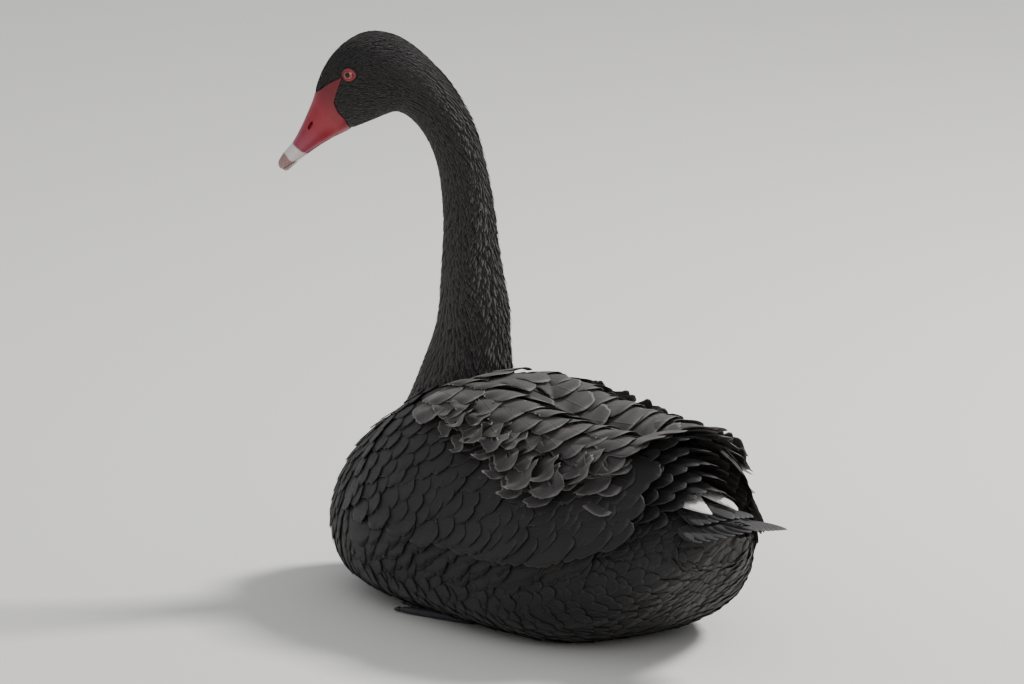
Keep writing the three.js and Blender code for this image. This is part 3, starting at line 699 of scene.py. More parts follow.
def build_skin():
    """One skin over torso, folded wings, neck and head."""
    start, length = BREAST_X - COAT_DEPTH, BREAST_X - RUMP_X - 2 * COAT_DEPTH
    v = np.linspace(0.02, 0.98, 90)
    x = (start - length * (0.5 - 0.5 * np.cos(np.pi * v)))[:, None]
    phi = (np.linspace(-np.pi, np.pi, 121)[:-1])[None, :]
    side = np.abs(phi)
    rise = wing_full(x, side) * smooth(WING_CLEAR, WING_LOW, side)
    rise = rise * smooth(WING_FRONT + 4, WING_FRONT - 14, x)
    edge = smooth(-8, 8, over_wing_edge(x, body_point(x, phi, rise)[..., 2]))
    rear = edge * smooth(WING_REAR - 4, WING_REAR + 14, x)
    bare = body_point(x, phi, -COAT_DEPTH)
    winged = body_point(x, phi, -4 + (rise + 4 - COAT_DEPTH) * rear)
    for body in (bare, winged):
        body[..., 2] = np.maximum(body[..., 2], SKIN_OVER_FLOOR)
    stations = np.linspace(0, len(NECK) + 0.4, 150)[:, None]
    angle = np.linspace(0, 2 * np.pi, 73)[:-1][None, :]
    neck = profile_point(stations, angle, -COAT_DEPTH * 0.75)
    skin = joined("skin", [loft("bare", bare), loft("winged", winged), loft("neck", neck)])
    rounded(skin, voxel_mm=2.4, passes=8)
    # A live bird's skin, thin and finely creased: matt black that only deepens the gaps in the coat.
    material = grained("black_skin_under_the_feathers", "TexNoise", 2, 3, "#131214", "#232124",
                       {"Roughness": 0.8}, (0.4, 0.5))
    put(skin, [material], "body_plumage", "torso", "neck_lower", "neck_middle", "neck_upper", "head")


def scatter(rng, rows, spacing_of):
    """Staggered rows of roots, jittered. spacing_of(row) gives a row's ends and its step."""
    first, second = [], []
    for index, row in enumerate(rows):
        low, high, step = spacing_of(row)
        across = np.arange(low + (0.5 * step if index % 2 else 0), high, step)
        first.append(np.full(len(across), row))
        second.append(across + rng.uniform(-0.16, 0.16, len(across)) * step)
    return np.concatenate(first), np.concatenate(second)


def build_body_feathers(material):
    """Breast, flanks, belly and rump: soft rounded feathers, flat under the belly."""
    rng = np.random.default_rng(11)

    def around(way):
        return -math.pi, math.pi, 9.4 / float(reach(np.array(way), np.array(1.2), False))

    way, phi = scatter(rng, np.arange(3.0, BODY_WAY[-1] + 10, 8.6), around)
    way = np.maximum(1, way + rng.uniform(-2, 2, len(way)))
    x = x_at(way)
    side = np.abs(phi)
    under_wing = (side < 1.2) & (x < WING_FRONT - 10) & (x > WING_REAR + 26)
    under_neck = (side < 0.3) & (x > 108) & (x < 186)
    x, phi, way, side = [a[~(under_wing | under_neck)] for a in (x, phi, way, side)]
    length = (17 + 12 * smooth(4, 190, way)) * rng.uniform(0.9, 1.15, len(x))
    half = (6.2 + 2.6 * smooth(4, 150, way)) * rng.uniform(0.9, 1.1, len(x))
    tip = (1.5 + rng.uniform(-0.3, 0.7, len(x))) * (1 - 0.7 * smooth(2.3, 2.7, side))
    wander = rng.uniform(-0.14, 0.14, len(x))
    outward = smooth(0, BREAST_WAY, way) * (0.5 - 0.5 * np.cos(side))
    heading = math.pi - (math.pi - side) * np.arctan2(outward * 0.9, 1 - 0.5 * outward) / (math.pi / 2)
    heading = np.sign(phi) * heading + wander
    downward = smooth(BREAST_WAY + 90, BREAST_WAY, way) * smooth(0.2, 0.5, side)
    slant = (math.pi - side) * 0.55 * downward + wander
    breast = way < BREAST_WAY
    low = side >= 2.1
    for name, here, along, across, seed in (
        ("breast_feathers", breast, 6, 5, 4),
        ("side_feathers", ~breast & ~low, 6, 5, 5),
        ("belly_feathers", ~breast & low, 4, 3, 5),
    ):
        if name == "breast_feathers":
            place = over_breast(way[here], phi[here], heading[here], length[here], tip[here], half[here])
        else:
            place = on_the_floor(draped(
                x[here], side[here], np.where(phi[here] < 0, -1, 1), length[here], slant=slant[here],
                root=-1.6, tip=tip[here], tilt=-0.3, half=half[here], curl=-0.9, on_wing=False))
        vanes(name, material, "body_plumage", "torso", place, length[here], half[here],
              body_uv(x[here], phi[here]), along, across, thick=0.45, seed=seed, fray=0.3)


def build_flank_feathers(material):
    """Long soft feathers of the flanks, lying up over the lower edge of the folded wing."""
    rng = np.random.default_rng(17)
    rows = np.arange(148, -112, -11.0)
    x, phi = scatter(rng, rows, lambda x: (1.36 + 0.1 * smooth(60, 130, x), 1.8, 0.13))
    sign = np.repeat([-1.0, 1.0], len(x))
    x = np.tile(x, 2) + rng.uniform(-3, 3, 2 * len(x))
    phi = np.tile(phi, 2)
    low = smooth(1.4, 1.75, phi)
    length = (46 - 14 * low) * rng.uniform(0.9, 1.1, len(x))
    half = (13.5 - 3 * low) * rng.uniform(0.9, 1.1, len(x))
    over_edge = 6.5 * smooth(1.62, 1.3, phi) * smooth(176, 130, x)
    slant = -0.2 + rng.uniform(-0.1, 0.1, len(x))
    tip = 2.4 + over_edge + rng.uniform(-0.4, 0.6, len(x))
    place = draped(x, phi, sign, length, slant=slant, root=-0.6 + 0.5 * over_edge, tip=tip, tilt=-0.4,
                   half=half, wave=0.6, curl=-1.4, on_wing=False)
    vanes("flank_feathers", material, "body_plumage", "torso", place, length, half,
          body_uv(x, sign * phi), along=9, across=5, seed=9, fray=0.35)


def ring_roots(rng, start, end, size, jitter):
    """Roots in staggered rings up the neck and head, about size(station) millimetres apart."""
    v, angle = [], []
    at = start
    around = np.linspace(0, math.pi, 9)
    while at < end:
        ut, uz, lt, lz, half = [float(value) for value in profile_at(np.array(at))]
        girth = 2 * math.pi * math.sqrt((half**2 + (math.hypot(ut - lt, uz - lz) / 2) ** 2) / 2)
        gap = size(at)
        step = 2 * math.pi / round(girth / gap)
        ring = np.arange(0, 2 * math.pi - step / 2, step) + (len(v) % 2) * 0.5 * step
        v.append(np.full(len(ring), at))
        angle.append(ring + rng.uniform(-jitter, jitter, len(ring)) * step)
        here, there = [profile_point(np.full(9, station), around, 0) for station in (at, at + 0.05)]
        at += 0.05 * gap / np.linalg.norm(there - here, axis=1).mean()
    v = np.concatenate(v)
    return v + rng.uniform(-0.04, 0.04, len(v)), np.concatenate(angle)


def profile_uv(v, angle):
    """The neck's and head's skin unrolled: up it, and round it."""
    return np.stack([v / (TIP + 1), (angle % (2 * math.pi)) / (2 * math.pi)], -1)


def build_neck_feathers(material):
    """Small narrow feathers down the neck, in standing ripples on its back."""
    rng = np.random.default_rng(23)
    v, angle = ring_roots(rng, 0.9, HEAD_FROM, lambda at: 3.5 - 1.2 * float(smooth(1, 9, at)), 0.3)
    nape = 0.5 + 0.5 * np.cos(angle)
    grow = smooth(11, 2, v)
    ripple = 0.5 + 0.5 * np.sin(v * 15 + 2.4 * np.sin(3 * angle) + 1.7 * np.sin(7 * angle + v))
    length = (8.5 + 6 * grow) * rng.uniform(0.85, 1.15, len(v))
    half = (1.35 + 1.25 * grow) * rng.uniform(0.85, 1.2, len(v))
    stand = (0.2 + 1.9 * ripple * rng.uniform(0.3, 1, len(v))) * (0.2 + 0.8 * nape) * smooth(13.5, 9, v)
    tip = 0.5 + 0.4 * grow + stand
    for cad_node, low, high in NECK_PARTS:
        here = (v >= low) & (v < high)
        place = down_the_profile(v[here], angle[here], length[here], tip[here], half[here], power=1.0)
        vanes(f"{cad_node}_feathers", material, "neck_plumage", cad_node, place, length[here], half[here],
              profile_uv(v[here], angle[here]), along=3, across=3, thick=0.35, seed=6, shape=POINTED)


def build_head_feathers(material):
    """Velvet-short feathers of the head, parted by the bare lores and round the eyes."""
    rng = np.random.default_rng(29)
    v, angle = ring_roots(rng, HEAD_FROM - 0.5, len(NECK) + 0.2, lambda at: 1.75, 0.35)
    t, z, lateral = profile_tz(v, angle, 0)
    bare = inside_outline(t, z, grown_outline(BILL_OUTLINE, -0.3))
    at_eye = (np.hypot((t - EYE[0]) / 5.8, (z - EYE[1]) / 4.9) < 1) & (np.abs(lateral) > 12)
    v, angle = [a[~(bare | at_eye)] for a in (v, angle)]
    length = 4.6 * rng.uniform(0.8, 1.2, len(v))
    half = 0.85 * rng.uniform(0.85, 1.2, len(v))
    tip = 0.12 + rng.uniform(0, 0.3, len(v))
    place = down_the_profile(v, angle, length, tip, half, root=-0.6, tilt=0.05)
    vanes("head_feathers", material, "neck_plumage", "head", place, length, half, profile_uv(v, angle),
          along=2, across=3, thick=0.22, seed=8, shape=POINTED)


# Frilled scapulars as in the photo: x and phi of the tip, length, slant, rise of the tip, half width.
FRILLS = [
    [54, 0.55, 48, 0.5, 9, 11],
    [26, 0.62, 56, 0.62, 13, 13],
    [-2, 0.69, 60, 0.65, 16, 14],
    [-30, 0.67, 62, 0.5, 13, 14],
    [-58, 0.78, 66, 0.6, 14, 15],
    [-86, 0.89, 72, 0.62, 15, 17],
    [-118, 0.9, 72, 0.5, 13, 17],
    [-136, 0.72, 66, 0.3, 12, 15],
    [-154, 0.78, 60, 0.3, 8, 14],
]
# Rows of broad scapulars over them: phi of the tips, slant, rise, half width, spacing.
CANOPY = [
    [0.56, 0.34, 7, 15, 25],
    [0.4, 0.24, 7, 16, 27],
    [0.25, 0.14, 6, 17, 29],
    [0.11, 0.05, 5, 17, 31],
]
# Fans at the tail: name, feathers, angle between two, length, half width, x and z of the roots,
# fall of the roots to the sides, rise to the tips, arch.
TAIL_FANS = [
    ("tail_feathers", 14, 0.07, 68, 11.5, -184, 118, 1.0, -2, 2),
    ("upper_tail_coverts", 9, 0.085, 46, 9, -178, 121, 0.8, -0.5, 3),
    ("rump_coverts", 9, 0.085, 30, 8, -172, 123, 0.8, -0.5, 3),
    ("under_tail_coverts", 8, 0.1, 40, 11, -186, 109, -0.6, 2, -2),
    ("vent_feathers", 7, 0.1, 46, 11, -172, 60, -1.5, 38, -3),
]
# Raised tertials at the rear: [y of the root, x, y and z of the tip], on the left.
TERTIALS = [
    [13, -180, 14, 183],
    [24, -172, 29, 179],
    [34, -160, 43, 168],
    [44, -160, 54, 152],
    [52, -160, 62, 137],
    [58, -157, 67, 121],
    [62, -150, 70, 106],
]


def lay_plumes(name, rows, word, side, rng, material, shape, power, wave, curl, tilt):
    """Large feathers by the places of their tips, in rows as in FRILLS."""
    count = len(rows)
    tip_x, tip_phi, length, slant, rise, half = rows.T
    length = length + rng.uniform(0, 5, count)
    half = half * rng.uniform(0.9, 1.1, count)
    x = tip_x + length * np.cos(slant)
    phi = tip_phi - length * np.sin(slant) / reach(way_at(x), tip_phi, True)
    rise = rise + rng.uniform(0, 3, count)
    wave = wave * rng.uniform(0.8, 1.2, count)
    place = draped(x, phi, side, length, slant=slant, root=-2, tip=rise, power=power, tilt=tilt, half=half,
                   wave=wave, turns=rng.uniform(1.1, 1.7, count), curl=curl)
    vanes(f"{name}_{word}", material, "wing_plumage", f"wing_{word}", place, length, half,
          body_uv(x, side * phi), along=28, across=13, thick=0.6, seed=14, fray=0.12, shape=shape)


def build_coverts(word, side, rng, material):
    """Soft broad coverts of the folded wing, in rows."""
    x, phi = scatter(rng, np.arange(WING_FRONT - 4, WING_REAR + 16, -14.0), lambda x: (0.05, 1.3, 0.135))
    x = x + rng.uniform(-3, 3, len(x))
    on_it = over_wing_edge(x, body_point(x, phi, 10)[:, 2]) > 4
    under_canopy = (x < -95) & (phi < 0.5)
    x, phi = [a[on_it & ~under_canopy] for a in (x, phi)]
    back = smooth(160, -60, x)
    upper = smooth(0.85, 0.4, phi)
    front = smooth(105, 168, x)
    length = (36 + 18 * back + 6 * upper) * rng.uniform(0.92, 1.1, len(x)) - 10 * front
    half = (12.5 + 3.2 * back - 2.6 * front) * rng.uniform(0.93, 1.08, len(x))
    tip = 1.8 + 0.8 * upper + rng.uniform(-0.3, 0.7, len(x))
    slant = 0.1 + rng.uniform(-0.08, 0.08, len(x)) - 0.12 * phi
    place = draped(x, phi, side, length, slant=slant, root=-1.5, tip=tip, tilt=0.6, half=half, wave=0.7,
                   curl=-1.2)
    vanes(f"wing_feathers_{word}", material, "wing_plumage", f"wing_{word}", place, length, half,
          body_uv(x, side * phi), along=12, across=7, seed=12, fray=0.22)


def build_scapulars(word, side, rng, material):
    """The frilled scapulars along the wing, and rows of broad ones between them and the spine."""
    frills = np.array(FRILLS, float)
    between = (frills[:-1] + frills[1:]) / 2 - np.array([0, 0.1, 8, 0, 3, 2])
    below = frills[1:-1] + np.array([13, 0.06, -20, 0.1, -6, -3])
    lay_plumes("frilled_scapulars", np.array([*below, *frills, *between]), word, side, rng, material, PLUME,
               power=1.4, wave=6.5, curl=4.5, tilt=0.8)
    canopy = []
    for tip_phi, slant, rise, wide, spacing in CANOPY:
        for tip_x in np.arange(66 + 20 * rng.random(), -160, -spacing):
            phi = tip_phi + rng.uniform(-0.04, 0.04)
            canopy.append([tip_x, phi, 62, slant + rng.uniform(-0.1, 0.1), rise, wide])
    lay_plumes("broad_scapulars", np.array(canopy), word, side, rng, material, ROUNDED,
               power=0.9, wave=2.0, curl=-1.5, tilt=1.5)


def build_tertials(word, side, material):
    """Long tertials raised at the rear, from the spine down to the wing's lower edge."""
    rows = np.array(TERTIALS, float)
    rows = np.concatenate([rows, (rows[1:] + rows[:-1]) / 2 + np.array([0, 7, 0, -4])])
    y = rows[:, 0]
    drop = 0.18 * y + 0.035 * np.maximum(0, y - 40) ** 2
    root = np.stack([-100 + 0 * y, side * y, 160 - drop], -1)
    tip = rows[:, 1:] * np.array([1, side, 1])
    across = unit(np.stack([0 * y, 1 + 0 * y, -0.01 * side * y], -1))
    half = np.full(len(rows), 14.0)
    place = open_place(root, tip, across, arch=4, camber=2.2, wave=1.8, phase=y, half=half)
    uv = body_uv(root[:, 0], np.arctan2(root[:, 1], root[:, 2] - 60))
    vanes(f"tertials_{word}", material, "wing_plumage", f"wing_{word}", place,
          np.linalg.norm(tip - root, axis=1), half, uv, along=20, across=9, thick=0.7, seed=15)


def build_secondaries(word, side, material):
    """Dark secondaries in layers, closing the folded wing behind, over the white primaries."""
    rng = np.random.default_rng(41 if side > 0 else 43)
    layers, in_a_layer = 5, 6
    depth, place_in_layer = np.divmod(np.arange(layers * in_a_layer), in_a_layer)
    depth = layers - 1 - depth
    y = 5 + 11.5 * place_in_layer + 4 * (depth % 2) + rng.uniform(-1.5, 1.5, len(depth))
    roof = 184 - 0.0135 * y**2
    clear_of_rump = roof - 9.5 * depth > 116
    depth, y, roof = [a[clear_of_rump] for a in (depth, y, roof)]
    tip_x = -174 - 6 * depth + 0.2 * y + rng.uniform(-2, 2, len(depth))
    tip = np.stack([tip_x, side * y * (1 - 0.03 * depth), roof - 9 - 9.5 * depth], -1)
    root = np.stack([-112 + 0 * y, side * 0.92 * y, roof - 26 - 6 * depth], -1)
    across = unit(np.stack([0 * y, 1 + 0 * y, -0.027 * y * side], -1))
    half = 12 * rng.uniform(0.92, 1.08, len(y))
    place = open_place(root, tip, across, arch=4, camber=3.0, wave=0.8, phase=y, half=half)
    uv = body_uv(root[:, 0] - 8 * depth, side * y / 60)
    vanes(f"secondaries_{word}", material, "wing_plumage", f"wing_{word}", place,
          np.linalg.norm(tip - root, axis=1), half, uv, along=12, across=7, thick=0.6, seed=16,
          fray=0.15)


def build_flight(word, side, material):
    """Folded white primaries of one side."""
    count = 8
    i = np.linspace(0, 5, count)
    root = np.stack([-122 + 1.5 * i, side * (28 - 3.2 * i), 134 + 1.7 * i], -1)
    tip = np.stack([-213 + 7.5 * i, side * (12 - 2.4 * i), 123.8 + 1.7 * i], -1)
    across = np.tile(np.array([[0.04, 1, -0.16 * side]]) / 1.013, (count, 1))
    half = np.full(count, 7.5)
    place = open_place(root, tip, across, arch=3, camber=1.6, wave=0.5, phase=i, half=half)
    uv = body_uv(root[:, 0] - 6 * i, np.arctan2(root[:, 1], 60))
    vanes(f"flight_feathers_{word}", material, "flight_feathers", f"flight_{word}", place,
          np.linalg.norm(tip - root, axis=1), half, uv, along=14, across=5, thick=0.7)


def build_tail(material):
    """Stiff tail feathers fanned from the rump, with coverts over and under them."""
    for seed, (name, count, step, length, half, x, z, fall, rise, arch) in enumerate(TAIL_FANS, 1):
        offset = np.arange(count) - (count - 1) / 2
        angle = offset * step
        root = np.stack([x + 0 * offset, 2.6 * offset * 12 / max(count, 12), z - fall * np.abs(offset)], -1)
        length = length - 1.2 * np.abs(offset)
        tip = root + np.stack([-length * np.cos(angle), length * np.sin(angle), rise + 0 * offset], -1)
        across = unit(np.stack([np.sin(angle), np.cos(angle), -0.1 * np.sign(offset)], -1))
        half = np.full(count, float(half))
        place = open_place(root, tip, across, arch, camber=0.8, wave=0.4, phase=offset, half=half)
        uv = body_uv(root[:, 0] + seed, np.arctan2(root[:, 1], 30))
        vanes(name, material, "tail_feathers", "tail", place, length, half, uv, along=12, across=5,
              thick=0.7, seed=seed)


def bill_material():
    """Living horn grown over bone, kept smooth by preening: dull red with a soft gloss and a
    little light inside it, darker at its root, pinker up to a pale band, and brown at the tip."""
    material, tree, shader = new_material("living_red_horn_of_the_bill", {
        "Roughness": 0.42, "Subsurface Weight": 0.08, "Subsurface Scale": 2 * MM,
        "Coat Weight": 0.15, "Coat Roughness": 0.3,
    })
    base = tuple(head_point(110, 385, 0) * MM)
    axis = tuple((head_point(0.603, -0.798, 0) - head_point(0, 0, 0)) / MM)
    where = node(tree, "TexCoord", {})["Object"]
    from_base = node(tree, "VectorMath", {0: where, 1: base}, operation="SUBTRACT")[0]
    along = node(tree, "VectorMath", {0: from_base, 1: axis}, operation="DOT_PRODUCT")["Value"]
    blotch = node(tree, "TexNoise", {"Vector": where, "Scale": 1 / (BLOTCH_MM * MM), "Detail": 4})[0]
    run = node(tree, "Math", {0: blotch, 1: 4, 2: along}, **SCALED_AND_ADDED)[0]
    colours = ["#6f121c"]
    for source, low, high, most, colour in (
        (run, -14, 10, 1, "#98202f"),
        (run, 18, 40, 1, "#97394f"),
        (blotch, 0.45, 0.75, 0.35, "#6a101c"),
        (run, 41.5, 43.5, 1, "#d9cfcc"),
        (run, 52.5, 54.5, 1, "before the band"),
        (run, 52.5, 55, 1, "#977472"),
    ):
        share = node(tree, "MapRange", {0: source, 1: low, 2: high, 4: most}, **SOFT_STEP)[0]
        colour = colours[3] if colour == "before the band" else colour
        colours.append(node(tree, "Mix", {0: share, 6: colours[-1], 7: colour}, **BLEND)[2])
    grain = node(tree, "TexNoise", {"Vector": where, "Scale": 1 / (HORN_GRAIN_MM * MM), "Detail": 3})[0]
    bump = node(tree, "Bump", {"Height": grain, "Strength": 0.35, "Distance": 0.25 * MM})[0]
    feed(shader, {"Base Color": colours[-1], "Normal": bump})
    return material


def build_bill():
    """Upper and lower bill with bare lores, the nail, the nostrils and the mouth line."""
    v = np.linspace(15, TIP, 170)[:, None]
    angle = np.linspace(0, 2 * np.pi, 97)[:-1][None, :]
    upper = loft("upper_bill", profile_point(v, angle, 0.25))
    lower = loft("lower_bill", profile_point(v, angle, 0, slim_profile_at))
    nail = loft("bill_nail", profile_point(v, angle, 0.6))
    for piece, outline, operation in (
        (upper, BILL_OUTLINE, "INTERSECT"),
        (lower, BILL_OUTLINE, "INTERSECT"),
        (lower, MANDIBLE_OUTLINE, "INTERSECT"),
        (upper, grown_outline(MANDIBLE_OUTLINE, MOUTH_GAP), "DIFFERENCE"),
        (nail, NAIL_OUTLINE, "INTERSECT"),
        (nail, grown_outline(MANDIBLE_OUTLINE, 0.5), "DIFFERENCE"),
    ):
        combine(piece, prism(outline), operation)
    forward = Vector(head_point(0.5, -0.86, 0) - head_point(0, 0, 0)).normalized()
    left = Vector(head_point(0, 0, 1) - head_point(0, 0, 0))
    long, deep, wide = NOSTRIL_HALF
    nostril = Matrix((forward * long, left * deep, forward.cross(left) * wide)).transposed().to_4x4()
    for side in (-1, 1):
        bpy.ops.mesh.primitive_uv_sphere_add(segments=32, ring_count=16, radius=1)
        hole = bpy.context.object
        place = Matrix.Translation(Vector(head_point(NOSTRIL[0], NOSTRIL[1], side * NOSTRIL[2])) * MM)
        hole.data.transform(place @ Matrix.Scale(MM, 4) @ nostril)
        combine(upper, hole, "DIFFERENCE")
    rounded(nail, voxel_mm=0.5, passes=5)
    rounded(upper, voxel_mm=0.55, passes=4)
    rounded(lower, voxel_mm=0.55, passes=4)
    horn = bill_material()
    # Horn worn by grazing: duller than the bill, streaked in horn brown.
    worn_horn = grained("worn_horn_of_the_nail", "TexNoise", 20 / 7, 4, "#7c5c5a", "#ab8c86",
                        {"Roughness": 0.5})
    put(upper, [horn], "bill_horn", "bill_upper")
    put(nail, [worn_horn], "bill_nail", "bill_nail")
    put(lower, [horn], "bill_horn", "bill_lower")


# The lid's section: share of the way from the opening to the outer edge, height over the eyeball.
LID_SECTION = [
    (0, -0.6), (0, 0.2), (0.1, 0.55), (0.24, 0.72), (0.4, 0.5), (0.52, 0.15), (0.66, 0.3), (0.85, 0),
    (1, -0.6), (1, -1.6), (0.4, -1.3),
]
RED_SHARE = 0.53  # how far out the fold is red
LID_OPEN_LONG, LID_OPEN_HIGH = 4.7, 3.5  # half the opening
PUPIL_ANGLE = 0.36  # from the eyeball's pole
IRIS_ANGLE = 0.68


def eyelid(name):
    """A red fold round an almond-shaped opening, in a ring of dark skin that sinks into the coat."""
    share, rise = np.array(LID_SECTION).T
    angle = np.linspace(0, 2 * np.pi, 73)[:-1]
    c, s = np.cos(angle)[:, None], np.sin(angle)[:, None]
    x = c * (LID_OPEN_LONG + 2.5 * share)
    y = s * (LID_OPEN_HIGH + 3.2 * share) * (1 - (0.22 - 0.22 * share) * c**2)
    z = np.sqrt(np.maximum(1.0, (EYE_RADIUS + rise) ** 2 - x**2 - y**2))
    around = len(share)
    quads = ring_quads(len(angle) + 1, around) % (len(angle) * around)
    obj = mesh_object(name, np.stack([x, y, z], -1), quads)
    outer = np.maximum(share, np.roll(share, -1)) > RED_SHARE
    obj.data.polygons.foreach_set("material_index", np.tile(outer, len(angle)).astype(np.int32))
    return obj


def eye_materials():
    """Pupil, iris and iris rim of the eyeball, then the red and the dark skin of the lid."""
    wet = {"Coat Weight": 1.0, "Coat Roughness": 0.03}
    return [
        # An opening behind the clear cornea: black, with one small wet glint.
        new_material("black_pupil_behind_the_cornea", {
            "Base Color": "#050405", "Roughness": 0.1, "Specular IOR Level": 0.25, "Coat Weight": 0.5})[0],
        # Muscle fibres under a tear film: a dark red that glistens. Real fibres are finer, and are
        # drawn as coarse as they need to show.
        grained("wet_red_iris", "TexNoise", 2 / 3, 2, "#6e0d0b", "#a92419", {"Roughness": 0.12, **wet}),
        # The iris's pigmented margin: nearly black, so that the red ring ends softly.
        new_material("dark_rim_of_the_iris", {"Base Color": "#2a0b0b", "Roughness": 0.15})[0],
        # Naked folded skin, oiled by preening: a satin dull red.
        new_material("bare_red_eyelid", {"Base Color": "#94363a", "Roughness": 0.45})[0],
        # The lid's dry outer skin: matt black, so that it passes into the feathers.
        new_material("dark_skin_round_the_eye", {"Base Color": "#161416", "Roughness": 0.7})[0],
    ]


def build_eyes():
    """Red iris round a black pupil, in a ring of bare red lid."""
    pupil, iris, rim, red_lid, dark_lid = eye_materials()
    for word, side in SIDES:
        centre = head_point(EYE[0], EYE[1], side * EYE[2])
        out = head_point(EYE[0] + 0.25, EYE[1], side * (EYE[2] + 1)) - centre
        turn = Vector(out).to_track_quat("Z", "Y").to_matrix().to_4x4()
        in_socket = Matrix.Translation(Vector(centre) * MM) @ turn
        bpy.ops.mesh.primitive_uv_sphere_add(segments=48, ring_count=48, radius=EYE_RADIUS * MM)
        ball = bpy.context.object
        ball.name = f"eyeball_{word}"

        for face in ball.data.polygons:
            away = math.acos(min(1, face.center.z / (EYE_RADIUS * MM)))
            face.material_index = 1 if away < PUPIL_ANGLE else 0 if away < IRIS_ANGLE else 2
            face.use_smooth = True
        ball.data.transform(in_socket)
        put(ball, [iris, pupil, rim], "eye", f"eye_{word}")
        ring = eyelid(f"eyelid_{word}")
        ring.data.transform(in_socket)
        put(ring, [red_lid, dark_lid], "bill_horn", "head")


FOOT_X, FOOT_Y = 18, 70  # where the toes meet
TOES = [(-0.16, 84), (0.1, 92), (0.36, 78)]  # each toe's angle outward, and its length
TOE_RADIUS = 4.2
WEB_FROM, WEB_TO = 0.3, 3  # heights over the floor


def rod(name, start, end, r1, r2, rings=24, around=20):
    """A round-ended rod that thins from r1 to r2 and stays above the floor."""
    axis = end - start
    side = np.array([-axis[1], axis[0], 0]) / np.hypot(axis[0], axis[1])
    up = unit(np.cross(axis, side))
    s = (0.5 - 0.5 * np.cos(np.pi * np.linspace(0.04, 0.96, rings)))[:, None, None]
    r = (r1 + (r2 - r1) * s) * np.sqrt(np.maximum(0.01, 1 - (2 * s - 1) ** 6))
    a = np.linspace(0, 2 * np.pi, around + 1)[:-1][None, :, None]
    points = start + axis * s + side * r * np.cos(a) + up * r * np.sin(a)
    points[..., 2] = np.maximum(points[..., 2], 0.2)
    return loft(name, points)


def web_between(root, tips):
    """The thin web from toe to toe, its edge drawn in between two toes."""
    rim = [root + np.array([-2, 0, 0])]
    for k, tip in enumerate(tips):
        if k:
            rim.append((tips[k - 1] + tip) / 2 * 0.74 + root * 0.26)
        rim.append(tip * 0.88 + root * 0.12)
    web = bmesh.new()
    web.faces.new([web.verts.new((x * MM, y * MM, WEB_FROM * MM)) for x, y, _ in rim])
    grown = bmesh.ops.extrude_face_region(web, geom=web.faces[:])
    for part in grown["geom"]:
        if isinstance(part, bmesh.types.BMVert):
            part.co.z = WEB_TO * MM
    bmesh.ops.recalc_face_normals(web, faces=web.faces)
    return shaped("web", web)


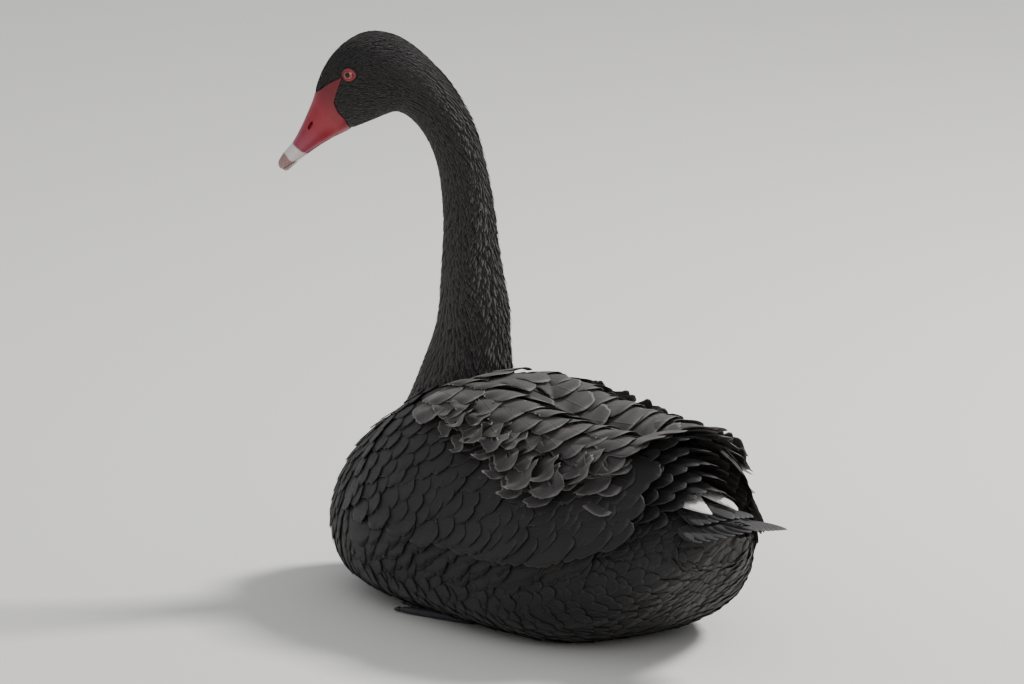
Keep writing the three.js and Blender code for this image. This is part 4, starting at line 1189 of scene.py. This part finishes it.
def build_feet():
    """Shanks along the ground, webbed toes and blunt claws, tucked under the flanks."""
    # Dry leathery skin grown in small scales: matt dark grey with a fine cobbled relief.
    skin = grained("dark_scaled_leg_skin", "TexVoronoi", 20 / 9, 0, "#3a393d", "#202023", {"Roughness": 0.6},
                   (-0.6, 0.4))
    # Solid horn rubbed on the ground: black with a blunt shine.
    claw = new_material("rubbed_black_claw_horn", {"Base Color": "#17161a", "Roughness": 0.35})[0]
    for word, side in SIDES:
        root = np.array([FOOT_X, side * FOOT_Y, TOE_RADIUS - 0.6])
        tips = [root + np.array([n * math.cos(a), side * n * math.sin(a), -0.4]) for a, n in TOES]
        parts = [rod("toe", root, tip, TOE_RADIUS + 1, TOE_RADIUS - 1.4) for tip in tips]
        parts.append(rod("hind_toe", root, root + np.array([-18, side * -13, -1]), 3.4, 2.2))
        parts.append(web_between(root, tips))
        foot = rounded(joined(f"webbed_foot_{word}", parts), voxel_mm=0.9, passes=3)
        heel = np.array([FOOT_X - 92, side * (FOOT_Y - 12), 9])
        shank = rod(f"shank_{word}", heel, np.array([FOOT_X - 8, side * FOOT_Y, 7]), 8.5, 5.6, 40, 32)
        claws = []
        for tip in tips:
            ahead = unit(tip - root)
            end = tip + ahead * 3.4 + np.array([0, 0, -0.6])
            claws.append(rod("claw", tip - ahead * 3, end, 2.6, 1.0, 12, 12))
        claws = joined(f"claws_{word}", claws)
        put(foot, [skin], "leg_skin", f"foot_{word}")
        put(shank, [skin], "leg_skin", f"leg_{word}")
        put(claws, [claw], "leg_skin", f"foot_{word}")


set_up_stage()
build_skin()
# Real barbs stand about a third of a millimetre apart. They are drawn as coarse as they need to
# show, 0.7 to 1.2 mm.

# Downy and loose: a soft black, its colour painted darker still as painted shade for the shaded flanks and
# belly.
shade_darkened_body_feather = feather_material("soft_black_body_feather_painted_shade", "#0e0d0f", "#171517", "#242222", 0.2)
# Firm flat vanes, worn at their ends: black with a thin paler border, the black painted darker as painted
# shade for the wing's shaded side.
shade_darkened_wing_feather = feather_material("black_wing_covert_feather_painted_shade", "#100f11", "#1a181a", "#33302f", 0.22)
# Loose plumes on top of the back: smoky brown-black painted lighter than the coverts as painted sunlight on
# the back, with pale edges that are partly real pale margins and partly painted highlight.
sunlit_plume_feather = feather_material("ruffled_black_back_plume_painted_sunlit", "#1c1b1c", "#322f30", "#75706d", 0.55)
# Narrow and short, each tip turned up: a dark nap whose paler tips are partly worn and partly painted
# highlight, the glints of the sunlit nape.
glint_tipped_neck_feather = feather_material("short_black_neck_feather_painted_glints", "#111012", "#1c1a1c", "#4a4543", 0.35,
                                barb_mm=0.9)
# Shortest and densest: black velvet with no gloss.
head_feather = feather_material("velvety_black_head_feather", "#111012", "#1b191b", "#2c2a29", 0.6,
                                roughness=0.75, barb_mm=0.7)
# Thick shafts and stiff closed vanes: plain black, a little browner.
tail_feather = feather_material("stiff_black_tail_feather", "#141315", "#1f1d1f", "#343130", 0.35)
# Without pigment: the barbs scatter the light as a warm white.
white_feather = feather_material("white_flight_feather", "#d9d6cf", "#ebe8e2", "#f2efe9", 0.1)
build_body_feathers(shade_darkened_body_feather)
build_flank_feathers(shade_darkened_body_feather)
build_neck_feathers(glint_tipped_neck_feather)
build_head_feathers(head_feather)
for word, side in SIDES:
    wing_rng = np.random.default_rng(31 if side > 0 else 37)
    build_coverts(word, side, wing_rng, shade_darkened_wing_feather)
    build_scapulars(word, side, wing_rng, sunlit_plume_feather)
    build_tertials(word, side, sunlit_plume_feather)
    build_secondaries(word, side, shade_darkened_wing_feather)
    build_flight(word, side, white_feather)
build_tail(tail_feather)
build_bill()
build_eyes()
build_feet()
